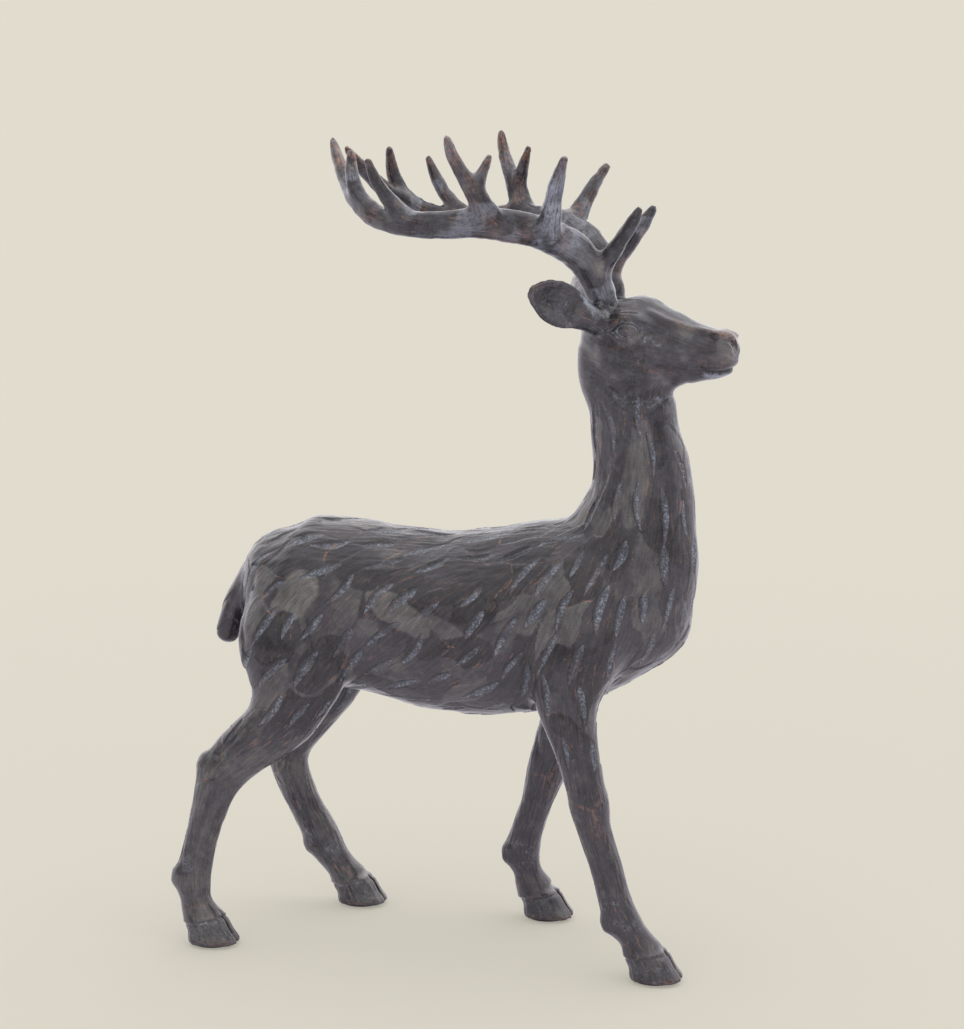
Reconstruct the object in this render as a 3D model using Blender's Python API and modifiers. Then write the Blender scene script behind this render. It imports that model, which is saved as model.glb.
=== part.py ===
"""Bronze stag statuette, built as a foundry assembles one.

One full-size pattern of the stag is shaped first. It is then cut into castings, as the sculptor's
pattern is: a hollow torso with the neck, a hollow head and four solid legs, joined by spigots and
locked with cross pins. The antlers, ears and tail are castings of their own, tenoned into sockets.
Run it with: blender --background --python part.py

Shapes are given in millimetres and scaled to metres. +X points towards the head, +Y to the
stag's left and +Z up. The ground is z = 0, and the model is centred over it at the end.
"""

import math

import bmesh
import bpy
import numpy as np
from mathutils import Matrix, Vector

MM = 0.001

# Driving dimensions, in millimetres
GAP = 0.3  # clearance between neighbouring castings
WALL = 5.0  # thickness of the hollow castings
PAD = 1.2  # thickness of the felt under each hoof
SOLE_Z = PAD + GAP  # height of the hooves' flat soles
LEG_JOINT_Z = 139.0  # the four legs are cut off below the belly
NECK_JOINT_Z = 342.0  # the head is cut off in the crease under the jaw
STANCE = 51.0  # half the distance between the left and right hooves
PATTERN_VOXEL = 1.3  # fineness at which the pattern's masses are blended
FINE_VOXEL = 1.0  # the same for the antlers and ears
PATTERN_FACES = 6200
ANTLER_FACES = 1350
EAR_FACES = 320
TAIL_FACES = 220

LEG_PIN_R = 2.0
SMALL_PIN_R = 1.5
SPIGOT_R = 7.0
SPIGOT_LENGTH = 15.0
NECK_SPIGOT_R = 13.0
NECK_BORE_R = 9.0
NECK_SPIGOT_LENGTH = 9.0
TENON_SIDE = 8.0
TENON_DEPTH = 8.5
EAR_PEG_R = 2.2
TAIL_PEG_R = 2.5
PLUG_R = 8.0
CORE_PLUG_R = 1.8

# A mass is a list of stations along its spine: x, y, z, half-width across, half-depth.
BARREL = [
    (-149.5, 0, 223, 18, 23),
    (-138, 0, 221, 33, 36.5),
    (-120, 0, 215, 43, 50),
    (-90, 0, 211.7, 46, 53.5),
    (-55, 0, 206.5, 45, 54),
    (-20, 0, 202, 47, 57),
    (15, 0, 204, 48, 58),
    (45, 0, 210, 47, 58),
    (75, 0, 218, 45, 54),
    (95, 0, 224, 39, 47),
    (106, 0, 231.5, 31, 38),
    (114, 0, 239, 19, 23),
]
NECK = [
    (84, 0, 205, 34, 40),
    (91.5, 0, 235, 35, 42.5),
    (95, 0, 262, 31, 39.5),
    (99, 0, 281, 27, 33.5),
    (99, 0, 300, 24, 30),
    (95.5, 0, 318, 21.5, 28),
    (92.5, 0, 340, 20, 26.5),
    (86.5, 0, 360, 20, 27.5),
    (81.5, 0, 380, 20, 23),
]
HEAD = [
    (66, 0, 386, 13, 12),
    (74, 0, 383, 21, 21),
    (85, 0, 378.5, 25, 27),
    (98, 0, 375.5, 26, 29),
    (112, 0, 373.5, 21.5, 24.6),
    (127, 0, 371.8, 16, 19),
    (140, 0, 371, 13.5, 15.4),
    (149, 0, 371.5, 13, 13.6),
    (154, 0, 372.5, 10.5, 11),
]
CHIN = [(118, 0, 356, 9, 7), (132, 0, 358.8, 8.5, 5.5), (143, 0, 360, 7.5, 4.5), (147, 0, 360.5, 5, 3)]
TAIL = [
    (-145, 0, 236, 8, 5),
    (-151.5, 0, 226, 10, 6.5),
    (-159, 0, 209, 11, 8),
    (-164.5, 0, 193, 9.5, 8.5),
    (-167.5, 0, 183.5, 8, 7.5),
]
# The hollow inside the head: the skull, and the muzzle in front of it.
SKULL_CORE = [(90, 0, 349, 9, 9), (92, 0, 362, 13, 15), (93, 0, 374, 15, 17), (93, 0, 384, 13, 13)]
MUZZLE_CORE = [(95, 0, 373, 13, 15), (112, 0, 372, 12, 13), (128, 0, 371, 8, 9)]
# The legs, from the shoulder or hip down to the coronet at the top of the hoof.
FORELEG_RIGHT = [
    (80, -18, 236, 14, 23),
    (72, -31, 203, 19, 28),
    (62, -37, 172, 16, 23),
    (64, -41, 155, 14, 18),
    (69.5, -43, 136, 12, 14),
    (75, -45, 114, 11, 12),
    (77.5, -46, 104, 11.5, 12.4),
    (81, -47, 89, 9.7, 10.6),
    (89, -48, 66, 8.7, 10),
    (94.5, -50, 48, 9.2, 10.4),
    (99, -51, 36, 10, 11.4),
    (106.5, -51, 25.5, 9.5, 10),
    (112.5, -51, 16, 11.5, 12.4),
]
FORELEG_LEFT = [
    (80, 18, 236, 14, 23),
    (70, 31, 203, 19, 28),
    (56, 36, 172, 16, 23),
    (50, 39, 152, 14, 18.5),
    (42.5, 41, 132, 12.5, 15),
    (35, 43, 113, 11.5, 13.2),
    (30.5, 44, 98, 11.3, 12.6),
    (24.5, 46, 77, 9.4, 10.2),
    (18, 48, 59, 9, 10.4),
    (14, 50, 43, 10.2, 12),
    (17, 51, 30, 9.3, 9.8),
    (23, 51, 18, 11.5, 12.5),
]
HINDLEG_RIGHT = [
    (-113, -17, 234, 15, 26),
    (-111, -31, 197, 20, 37),
    (-109, -37, 172, 18, 34),
    (-113, -41, 153, 16, 25.5),
    (-121, -43, 140, 14.5, 20.5),
    (-135, -45, 128, 13, 18),
    (-148, -46, 116, 12, 16),
    (-156.5, -47, 104, 11, 14.5),
    (-161, -48, 90, 9.7, 12.2),
    (-167, -49, 68, 8.9, 10.6),
    (-172, -50, 47, 9.7, 11.4),
    (-173, -51, 39, 10, 11.8),
    (-171, -51, 26, 9.5, 10.2),
    (-166.5, -51, 16, 11.5, 12.6),
]
HINDLEG_LEFT = [
    (-113, 17, 234, 15, 26),
    (-111, 31, 197, 20, 36),
    (-109, 37, 172, 18, 32),
    (-112, 40, 153, 16, 23.5),
    (-121, 42, 137, 14.5, 19),
    (-131, 43, 122, 13, 16.5),
    (-140.5, 44, 108, 12, 15),
    (-142, 45, 94, 10.5, 13.3),
    (-137, 47, 77, 9.3, 11.8),
    (-129, 48, 60, 9.3, 11.2),
    (-121, 49, 45, 10, 12.2),
    (-115.5, 50, 33, 10, 11.6),
    (-109, 51, 25, 9.5, 10),
    (-102.5, 51, 16, 11.5, 12.5),
]
# The middle of each hoof's sole, as x and y.
HOOVES = {
    "foreleg_right": (118.5, -STANCE),
    "foreleg_left": (30, STANCE),
    "hindleg_right": (-161, -STANCE),
    "hindleg_left": (-95.5, STANCE),
}
HOOF_HEIGHT = 18.0
# Horizontal rings of a hoof, as share of its height, forward shift, half-length and half-width.
HOOF_RINGS = [
    (-0.25, 1.0, 16.5, 13.8),
    (0.0, 1.0, 16.5, 13.8),
    (0.18, 0.6, 16.4, 13.6),
    (0.55, -1.8, 15.2, 12.8),
    (0.95, -4.6, 14.0, 11.9),
    (1.05, -5.2, 12.5, 10.5),
]

# The right antler's beam and tines, by the same stations.
ANTLER_BRANCHES = [
    [  # main beam, from inside the skull to the rear tip
        (78, -12, 392, 5, 5.5),
        (76.5, -13, 404, 7.2, 9.5),
        (70.8, -16, 418, 7, 10),
        (62, -23, 431.5, 6.8, 11),
        (46, -36, 441.5, 6.3, 10.5),
        (27, -47, 446.3, 5.8, 10),
        (8, -56, 448, 5.7, 9.6),
        (-14, -60, 446.7, 5.7, 8.4),
        (-36, -59, 448, 5.4, 7.6),
        (-54, -52, 453, 5.2, 7.2),
        (-67.5, -41, 462.5, 4.8, 6.2),
        (-77.5, -29, 475, 4.3, 5.2),
        (-85, -19, 487, 3.6, 4.1),
        (-90, -13, 497, 2.1, 2.4),
    ],
    [  # brow tine, over the forehead
        (73, -15, 410, 6.5, 8),
        (78.5, -17, 423, 6.2, 6.5),
        (88.5, -19.5, 437, 4.8, 4.9),
        (96, -21, 448, 3.9, 4.3),
        (101, -22, 457, 2.1, 2.4),
    ],
    [  # second tine
        (49, -39, 440, 5.5, 9),
        (53.5, -47, 455, 5, 6.5),
        (58.5, -56, 471, 4.4, 5),
        (65, -64.5, 486, 2.5, 2.8),
    ],
    [  # third tine, with a fork
        (19.5, -53, 447, 5.5, 9.5),
        (12.5, -59, 462, 5, 7.2),
        (4.5, -63, 476, 4.6, 5),
        (-1, -66, 487, 4, 4.3),
        (-4, -68, 498, 2.4, 2.6),
    ],
    [  # front branch of the fork
        (11.5, -60, 460, 4.6, 6),
        (13.5, -57, 474, 4, 4.2),
        (18, -51, 487, 2.4, 2.6),
    ],
    [  # outer crown tine
        (-28, -60, 448, 5, 7),
        (-38, -63, 459, 4.6, 5.2),
        (-46, -66, 471, 4, 4.4),
        (-51.5, -67, 485, 2.4, 2.6),
    ],
    [  # upper crown tine
        (-50, -54, 452, 5, 6.5),
        (-61, -49, 462, 4.8, 5.5),
        (-67, -46, 474, 4.2, 4.8),
        (-69, -42, 490, 2.6, 2.8),
    ],
]
# The left antler mirrors the right, but its branches lean a little otherwise: by how much each is
# moved in x at its base, and in x and z at its tip.
LEFT_LEAN = [(0, 0, -5), (0, 0, 0), (-4, -1, -5), (-5, -1, 4), (-4, -1, 5), (1, -1, 1), (-3, -1.5, 2)]

# Points on the figure's right side; the left side mirrors them.
ANTLER_FOOT = Vector((76.5, -13.0, 400.0))
ANTLER_AXIS = Vector((-0.12, -0.12, 1.0)).normalized()
EAR_ROOT = Vector((74.0, -21.0, 390.0))
EAR_TIP = Vector((42.6, -60.0, 410.0))
EAR_UP = Vector((0.363, 0.184, 0.913))
EAR_HALF_WIDTH = 13.5
EAR_CUP = 6.0
EAR_THICKNESS = 3.4
TAIL_PEG_START = Vector((-157.0, 0.0, 214.0))
TAIL_PEG_END = Vector((-139.0, 0.0, 219.0))
LEG_SPIGOTS = {  # x and y of each leg's spigot
    "foreleg_right": (69.0, -42.5),
    "foreleg_left": (46.0, 40.5),
    "hindleg_right": (-113.0, -42.0),
    "hindleg_left": (-108.0, 41.5),
}
CORE_PLUG_SPOTS = {"rear": (-58.0, 214.0), "front": (22.0, 214.0)}
BELLY_PLUG_X = -8.0

COLOURS = {  # base colour, metallic, roughness
    "bronze": ((0.045, 0.045, 0.052), 0.55, 0.42),
    "pin_bronze": ((0.36, 0.20, 0.11), 0.9, 0.35),
    "felt": ((0.03, 0.03, 0.03), 0.0, 0.95),
}


# ---------------------------------------------------------------- scene and small helpers

def clear_scene():
    for obj in list(bpy.data.objects):
        bpy.data.objects.remove(obj, do_unlink=True)


def new_collection(name, hidden=False):
    collection = bpy.data.collections.new(name)
    bpy.context.scene.collection.children.link(collection)
    collection.hide_render = hidden
    return collection


def make_materials():
    materials = {}
    for name, (colour, metallic, roughness) in COLOURS.items():
        material = bpy.data.materials.new(name)
        material.use_nodes = True
        shader = material.node_tree.nodes["Principled BSDF"]
        shader.inputs["Base Color"].default_value = (*colour, 1.0)
        shader.inputs["Metallic"].default_value = metallic
        shader.inputs["Roughness"].default_value = roughness
        materials[name] = material
    return materials


def add_object(name, mesh, collection):
    obj = bpy.data.objects.new(name, mesh)
    collection.objects.link(obj)
    return obj


def helper(name, mesh):
    """A cutter, guide or pattern, which isn't part of the object."""
    obj = add_object(name, mesh, bpy.data.collections["cutters"])
    obj.hide_render = True
    obj.display_type = "WIRE"
    return obj


def mesh_from(bm, name):
    bmesh.ops.recalc_face_normals(bm, faces=bm.faces)
    if bm.calc_volume(signed=True) < 0:
        bmesh.ops.reverse_faces(bm, faces=bm.faces)
    mesh = bpy.data.meshes.new(name)
    bm.to_mesh(mesh)
    bm.free()
    return mesh


def baked(obj, name):
    """The object's shape with its modifiers applied, as a mesh of its own."""
    bpy.context.view_layer.update()
    graph = bpy.context.evaluated_depsgraph_get()
    mesh = bpy.data.meshes.new_from_object(obj.evaluated_get(graph))
    mesh.name = name
    return mesh


def apply_modifiers(obj):
    mesh = baked(obj, obj.name)
    obj.modifiers.clear()
    obj.data = mesh


def boolean(obj, operation, *tools):
    """Joins tools to obj, cuts them from it, or keeps what they share, then applies it."""
    for tool in tools:
        modifier = obj.modifiers.new(operation, "BOOLEAN")
        modifier.operation = operation
        modifier.solver = "EXACT"
        modifier.object = tool
    apply_modifiers(obj)


def cleaned(obj):
    """Merges the slivers that cutting leaves along the edges of obj."""
    bm = bmesh.new()
    bm.from_mesh(obj.data)
    bmesh.ops.triangulate(bm, faces=bm.faces)
    bmesh.ops.remove_doubles(bm, verts=bm.verts, dist=0.01 * MM)
    bmesh.ops.dissolve_degenerate(bm, dist=0.005 * MM, edges=bm.edges)
    bmesh.ops.triangulate(bm, faces=bm.faces)
    bm.to_mesh(obj.data)
    bm.free()


def turned_up(direction):
    """The rotation that turns +Z to this direction."""
    return Vector(direction).to_track_quat("Z", "Y").to_matrix().to_4x4()


def cylinder(name, start, end, radius, sides=20):
    """A round solid between two points."""
    start, end = Vector(start), Vector(end)
    bm = bmesh.new()
    bmesh.ops.create_cone(bm, cap_ends=True, segments=sides, radius1=radius, radius2=radius,
                          depth=(end - start).length)
    place = Matrix.Translation((start + end) / 2) @ turned_up(end - start)
    bm.transform(Matrix.Scale(MM, 4) @ place)
    return helper(name, mesh_from(bm, name))


def box(name, low, high, place=None):
    """A box between two corners, turned and moved by place."""
    low, high = Vector(low), Vector(high)
    bm = bmesh.new()
    bmesh.ops.create_cube(bm, size=1.0)
    bm.transform(Matrix.Translation((low + high) / 2) @ Matrix.Diagonal((*(high - low), 1.0)))
    bm.transform(Matrix.Scale(MM, 4) @ (place or Matrix.Identity(4)))
    return helper(name, mesh_from(bm, name))


def mirrored(vector, side):
    """A point of the right side, moved to the left side if side is +1."""
    return Vector((vector[0], -side * vector[1] if vector[1] else 0.0, vector[2]))


# ---------------------------------------------------------------- shaping

def smooth_stations(stations, steps):
    """Stations along a Catmull-Rom curve through the given ones."""
    points = np.array(stations, float)
    points = np.vstack([2 * points[0] - points[1], points, 2 * points[-1] - points[-2]])
    out = []
    for i in range(1, len(points) - 2):
        before, start, end, after = points[i - 1:i + 3]
        for t in np.arange(steps) / steps:
            out.append(0.5 * (2 * start + (end - before) * t
                              + (2 * before - 5 * start + 4 * end - after) * t ** 2
                              + (3 * start - before - 3 * end + after) * t ** 3))
    out.append(points[-2])
    return np.array(out)


def loft(bm, stations, sides=20, steps=4, inset=0.0):
    """A closed body of elliptical rings, each square to its spine, with domed ends."""
    rows = smooth_stations(stations, steps)
    rows[:, 3:] = np.maximum(rows[:, 3:] - inset, 0.8)
    tangents = np.gradient(rows[:, :3], axis=0)
    rings = []
    for row, tangent in zip(rows, tangents):
        along = Vector(tangent).normalized()
        guide = Vector((0, 1, 0)) if abs(along.y) < 0.8 else Vector((0, 0, 1))
        across = (guide - guide.dot(along) * along).normalized()
        deep = along.cross(across)
        ring = []
        for k in range(sides):
            angle = 2 * math.pi * k / sides
            outward = across * row[3] * math.cos(angle) + deep * row[4] * math.sin(angle)
            ring.append(bm.verts.new((Vector(row[:3]) + outward) * MM))
        rings.append(ring)
    for lower, upper in zip(rings, rings[1:]):
        for k in range(sides):
            following = (k + 1) % sides
            bm.faces.new((lower[k], lower[following], upper[following], upper[k]))
    for ring, tangent, row in ((rings[0], -tangents[0], rows[0]), (rings[-1], tangents[-1], rows[-1])):
        dome = Vector(row[:3]) + Vector(tangent).normalized() * 0.45 * min(row[3], row[4])
        tip = bm.verts.new(dome * MM)
        for k in range(sides):
            bm.faces.new((ring[k], ring[(k + 1) % sides], tip))


def ellipsoid(bm, centre, radii):
    shape = Matrix.Translation(Vector(centre) * MM) @ Matrix.Diagonal((*(r * MM for r in radii), 1.0))
    bmesh.ops.create_uvsphere(bm, u_segments=20, v_segments=12, radius=1.0, matrix=shape)


def hoof(bm, centre):
    """A hoof as stacked horizontal rings, blunt at the heel and sloped at the toe."""
    sides = 24
    rings = []
    for share, shift, length, width in HOOF_RINGS:
        ring = []
        for k in range(sides):
            angle = 2 * math.pi * k / sides
            squareness = 0.86 if math.cos(angle) < 0 else 1.0  # the heel is blunter than the toe
            x = centre[0] + shift + length * math.cos(angle) * squareness
            y = centre[1] + width * math.copysign(abs(math.sin(angle)) ** 0.8, math.sin(angle))
            ring.append(bm.verts.new(Vector((x, y, share * HOOF_HEIGHT)) * MM))
        rings.append(ring)
    for lower, upper in zip(rings, rings[1:]):
        for k in range(sides):
            bm.faces.new((lower[k], lower[(k + 1) % sides], upper[(k + 1) % sides], upper[k]))
    bm.faces.new(rings[0][::-1])
    bm.faces.new(rings[-1])


def soften(obj, iterations):
    """Rounds the body where its masses meet, and leaves the head and lower legs alone."""
    group = obj.vertex_groups.new(name="body")
    for vert in obj.data.vertices:
        z = vert.co.z / MM
        weight = min(1.0, max(0.0, (z - 135) / 25)) * min(1.0, max(0.0, (345 - z) / 20))
        group.add([vert.index], weight, "REPLACE")
    smooth = obj.modifiers.new("soften", "SMOOTH")
    smooth.factor = 0.5
    smooth.iterations = iterations
    smooth.vertex_group = "body"
    apply_modifiers(obj)


def blended(name, bm, voxel, smoothing, faces, softening=0):
    """The masses in bm melted into one skin, smoothed, and thinned to about this many faces."""
    obj = helper(name, mesh_from(bm, name))
    remesh = obj.modifiers.new("blend", "REMESH")
    remesh.mode = "VOXEL"
    remesh.voxel_size = voxel * MM
    smooth = obj.modifiers.new("smooth", "SMOOTH")
    smooth.factor = 0.5
    smooth.iterations = smoothing
    apply_modifiers(obj)
    if softening:
        soften(obj, softening)
    dense = sum(len(p.vertices) - 2 for p in obj.data.polygons)
    thin = obj.modifiers.new("thin", "DECIMATE")
    thin.ratio = min(1.0, faces / dense)
    apply_modifiers(obj)
    return obj


def grown(obj, name, distance):
    """A copy of obj pushed out by distance, used to cut clearance round it."""
    copy = helper(name, obj.data.copy())
    push = copy.modifiers.new("push", "DISPLACE")
    push.strength = distance * MM
    push.mid_level = 0.0
    apply_modifiers(copy)
    return copy


def stag_pattern():
    """The whole stag but for its antlers, ears and tail, in one skin."""
    bm = bmesh.new()
    loft(bm, BARREL, sides=32)
    loft(bm, NECK, sides=28)
    loft(bm, HEAD, sides=28)
    loft(bm, CHIN, sides=16)
    for leg in (FORELEG_RIGHT, FORELEG_LEFT, HINDLEG_RIGHT, HINDLEG_LEFT):
        loft(bm, leg)
    for centre in HOOVES.values():
        hoof(bm, centre)
    for side in (-1, 1):
        ellipsoid(bm, (93, side * 14, 362), (19, 10.5, 17))  # cheek
        ellipsoid(bm, (94, side * 21, 389), (14, 6, 7))  # brow over the eye
        ellipsoid(bm, (76, side * 12, 397), (9, 8, 9))  # swelling that carries the antler
        ellipsoid(bm, (147.5, side * 7.5, 379), (8, 6, 6.5))  # nostril wing
    ellipsoid(bm, (-121, 0, 194), (23, 36, 40))  # rump between the thighs
    ellipsoid(bm, (-162.5, -47, 112), (8.5, 8, 11))  # points of the hocks
    ellipsoid(bm, (-146, 44.5, 103), (8, 8, 10))
    return blended("pattern", bm, PATTERN_VOXEL, 8, PATTERN_FACES, softening=110)


# ---------------------------------------------------------------- castings

def casting(name, pattern, low, high, collection):
    """The piece of the pattern inside a box."""
    piece = add_object(name, pattern.data.copy(), collection)
    boolean(piece, "INTERSECT", box(name + "_region", low, high))
    return piece


def torso_core():
    """The sand core that leaves the torso and neck hollow."""
    bm = bmesh.new()
    loft(bm, BARREL[2:-2], sides=20, steps=2, inset=WALL + 1.0)
    loft(bm, NECK[1:6], sides=20, steps=2, inset=WALL + 1.0)
    return blended("torso_core", bm, 2.5, 4, 900)


def head_core():
    """The hollow of the cheeks and skull, open below into the neck."""
    bm = bmesh.new()
    loft(bm, SKULL_CORE, sides=16, steps=2)
    loft(bm, MUZZLE_CORE, sides=16, steps=2)
    return blended("head_core", bm, 2.5, 3, 500)


def skin_point(obj, outside, direction):
    """Where a line from a point outside obj, in millimetres, first enters it."""
    hit, place, _, _ = obj.ray_cast(Vector(outside) * MM, Vector(direction))
    if not hit:
        raise ValueError(f"no surface on the line from {outside}")
    return place / MM


def fastener(name, start, end, radius, collection, sides=16):
    """A pin or plug: a cylinder with softened ends."""
    pin = cylinder(name, start, end, radius, sides)
    pin.hide_render = False
    pin.display_type = "TEXTURED"
    bpy.data.collections["cutters"].objects.unlink(pin)
    collection.objects.link(pin)
    return pin


def hole_for(pin_name, start, end, radius, sides=16):
    """A cutter that leaves GAP round and beyond a pin."""
    start, end = Vector(start), Vector(end)
    along = (end - start).normalized()
    return cylinder(pin_name + "_hole", start - along * 6.0, end + along * GAP, radius + GAP, sides)


def make_torso(pattern, collection):
    low, high = LEG_JOINT_Z + GAP / 2, NECK_JOINT_Z - GAP / 2
    torso = casting("torso_shell", pattern, (-200, -90, low), (170, 90, high), collection)
    spigot = cylinder("neck_spigot", (93, 0, NECK_JOINT_Z - 8), (93, 0, NECK_JOINT_Z + NECK_SPIGOT_LENGTH),
                      NECK_SPIGOT_R, 28)
    boolean(torso, "UNION", spigot)
    bore = cylinder("neck_bore", (94, 0, 300), (93, 0, NECK_JOINT_Z + 20), NECK_BORE_R, 24)
    boolean(torso, "DIFFERENCE", torso_core(), bore)
    return torso


def make_head(pattern, collection):
    head = casting("head_shell", pattern, (40, -60, NECK_JOINT_Z + GAP / 2), (180, 60, 430), collection)
    top = NECK_JOINT_Z + NECK_SPIGOT_LENGTH + GAP
    socket = cylinder("neck_socket", (93, 0, NECK_JOINT_Z - 5), (93, 0, top), NECK_SPIGOT_R + GAP, 28)
    boolean(head, "DIFFERENCE", head_core(), socket)
    return head


def cut_cleft(leg, name):
    """The cleft between the two toes of a hoof, at the front and a short way up the heel."""
    x, y = HOOVES[name]
    front = box(name + "_cleft", (x + 5, y - 1.1, -5), (x + 30, y + 1.1, 30))
    heel = box(name + "_heel_cleft", (x - 30, y - 1.1, -5), (x - 9.5, y + 1.1, 9))
    under = box(name + "_under_cleft", (x - 30, y - 1.1, -5), (x + 30, y + 1.1, SOLE_Z + 1.5))
    boolean(leg, "DIFFERENCE", front, heel, under)


def make_leg(name, pattern, torso, collection):
    """A solid leg casting with its spigot, its socket in the torso and the pin that locks them."""
    x, y = LEG_SPIGOTS[name]
    side = math.copysign(1, y)
    low = (0 if x > 0 else -200, 0 if y > 0 else -90, SOLE_Z)
    high = (170 if x > 0 else 0, 90 if y > 0 else 0, LEG_JOINT_Z - GAP / 2)
    leg = casting(name, pattern, low, high, collection)
    top = LEG_JOINT_Z + SPIGOT_LENGTH
    boolean(leg, "UNION", cylinder(name + "_spigot", (x, y, LEG_JOINT_Z - 8), (x, y, top), SPIGOT_R))
    socket = cylinder(name + "_socket", (x, y, LEG_JOINT_Z - 5), (x, y, top + GAP), SPIGOT_R + GAP)
    boolean(torso, "DIFFERENCE", socket)

    pin_z = LEG_JOINT_Z + 0.55 * SPIGOT_LENGTH
    skin = skin_point(pattern, (x, side * 120, pin_z), (0, -side, 0))
    start = Vector((x, skin.y, pin_z))
    end = Vector((x, y - side * (SPIGOT_R + 1.5), pin_z))
    pin_name = name.replace("leg", "leg_pin")
    hole = hole_for(pin_name, start, end, LEG_PIN_R)
    boolean(leg, "DIFFERENCE", hole)
    boolean(torso, "DIFFERENCE", hole)
    cut_cleft(leg, name)
    return fastener(pin_name, start, end, LEG_PIN_R, collection)


def make_foot_pad(name, collection):
    """A felt disc, an ellipse a little smaller than the sole it is stuck to."""
    x, y = HOOVES[name]
    bm = bmesh.new()
    bmesh.ops.create_cone(bm, cap_ends=True, segments=32, radius1=1.0, radius2=1.0, depth=PAD)
    place = Matrix.Translation((x, y, PAD / 2)) @ Matrix.Diagonal((11.5, 9.5, 1.0, 1.0))
    bm.transform(Matrix.Scale(MM, 4) @ place)
    return add_object(name.replace("leg", "foot_pad"), mesh_from(bm, name), collection)


def make_neck_pin(side, pattern, head, torso, collection):
    """A pin from the side of the throat, through the head's wall into the neck spigot's."""
    z = NECK_JOINT_Z + 0.5 * NECK_SPIGOT_LENGTH
    skin = skin_point(pattern, (93, side * 60, z), (0, -side, 0))
    start = Vector((93, skin.y, z))
    end = Vector((93, side * (NECK_BORE_R + 1.0), z))
    name = "neck_pin_" + ("left" if side > 0 else "right")
    hole = hole_for(name, start, end, SMALL_PIN_R)
    boolean(head, "DIFFERENCE", hole)
    boolean(torso, "DIFFERENCE", hole)
    return fastener(name, start, end, SMALL_PIN_R, collection)


def antler_pattern(side):
    """One antler's branches melted together."""
    bm = bmesh.new()
    for branch, lean in zip(ANTLER_BRANCHES, LEFT_LEAN):
        rows = []
        for k, (x, y, z, across, deep) in enumerate(branch):
            share = (k / (len(branch) - 1)) ** (4 if len(branch) > 8 else 1)
            if side > 0:
                x += (1 - share) * lean[0] + share * lean[1]
                z += share * lean[2]
            rows.append((x, -side * y, z, across, deep))
        loft(bm, rows, sides=14)
    return blended("antler_pattern", bm, FINE_VOXEL, 4, ANTLER_FACES)


def make_antlers(head, clearance, pattern, collection):
    """Both antlers, each standing on the skull with a square tenon in it, and their cross pins."""
    pins = []
    for side, label in ((-1, "right"), (1, "left")):
        antler = add_object("antler_" + label, antler_pattern(side).data.copy(), collection)
        boolean(antler, "DIFFERENCE", clearance)
        foot, axis = mirrored(ANTLER_FOOT, side), mirrored(ANTLER_AXIS, side)
        place = Matrix.Translation(foot) @ turned_up(axis)
        half = TENON_SIDE / 2
        tenon = box(f"tenon_{label}", (-half, -half, -TENON_DEPTH), (half, half, 12), place)
        boolean(antler, "UNION", tenon)
        room = half + GAP
        mortise = box(f"mortise_{label}", (-room, -room, -TENON_DEPTH - GAP), (room, room, 12), place)
        boolean(head, "DIFFERENCE", mortise)

        middle = foot - axis * 0.5 * TENON_DEPTH
        skin = skin_point(pattern, (middle.x, side * 60, middle.z), (0, -side, 0))
        start = Vector((middle.x, skin.y, middle.z))
        end = Vector((middle.x, middle.y - side * (half + 1.5), middle.z))
        name = "antler_pin_" + label
        hole = hole_for(name, start, end, SMALL_PIN_R)
        boolean(antler, "DIFFERENCE", hole)
        boolean(head, "DIFFERENCE", hole)
        pins.append(fastener(name, start, end, SMALL_PIN_R, collection))
    return pins


def ear_pattern():
    """The right ear: a leaf-shaped cup on a short stalk, opening forwards and outwards."""
    along = EAR_TIP - EAR_ROOT
    length = along.length
    along.normalize()
    up = (EAR_UP - EAR_UP.dot(along) * along).normalized()
    facing = up.cross(along)
    rows, columns = 16, 12
    bm = bmesh.new()
    bmesh.ops.create_grid(bm, x_segments=rows, y_segments=columns, size=0.5)
    for vert in bm.verts:
        s, t = vert.co.x + 0.5, 2 * vert.co.y
        half_width = EAR_HALF_WIDTH * math.sin(math.pi * (0.16 + 0.80 * s ** 1.15)) ** 0.75
        cup = EAR_CUP * (1 - t * t) * math.sin(math.pi * min(1.0, 0.25 + 0.75 * s))
        point = EAR_ROOT + along * (0.12 + 0.86 * s) * length + up * half_width * t - facing * cup
        vert.co = point * MM
    shell = helper("ear_leaf", mesh_from(bm, "ear_leaf"))
    thick = shell.modifiers.new("thickness", "SOLIDIFY")
    thick.thickness = EAR_THICKNESS * MM
    thick.offset = 0.0
    apply_modifiers(shell)
    bm = bmesh.new()
    bm.from_mesh(shell.data)
    start = EAR_ROOT - along * 4
    middle = EAR_ROOT + along * 6 - facing
    end = EAR_ROOT + along * 0.3 * length - facing * 3
    loft(bm, [(*start, 8, 8), (*middle, 7.5, 9), (*end, 4, 7)], sides=16)
    return blended("ear_pattern", bm, FINE_VOXEL, 3, EAR_FACES)


def make_ears(head, clearance, collection):
    right = ear_pattern()
    inward = (EAR_ROOT - EAR_TIP).normalized()
    for side, label in ((-1, "right"), (1, "left")):
        mesh = right.data.copy()
        if side > 0:
            mesh.transform(Matrix.Diagonal((1, -1, 1, 1)))
            mesh.flip_normals()
        ear = add_object("ear_" + label, mesh, collection)
        antler = collection.objects["antler_" + label]
        boolean(ear, "DIFFERENCE", clearance, grown(antler, f"antler_clearance_{label}", GAP))
        root, axis = mirrored(EAR_ROOT, side), mirrored(inward, side)
        outer, inner = root - axis * 10, root + axis * 5
        boolean(ear, "UNION", cylinder(f"ear_peg_{label}", outer, inner, EAR_PEG_R, 16))
        hole = cylinder(f"ear_socket_{label}", outer, inner + axis * GAP, EAR_PEG_R + GAP, 16)
        boolean(head, "DIFFERENCE", hole)


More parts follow.
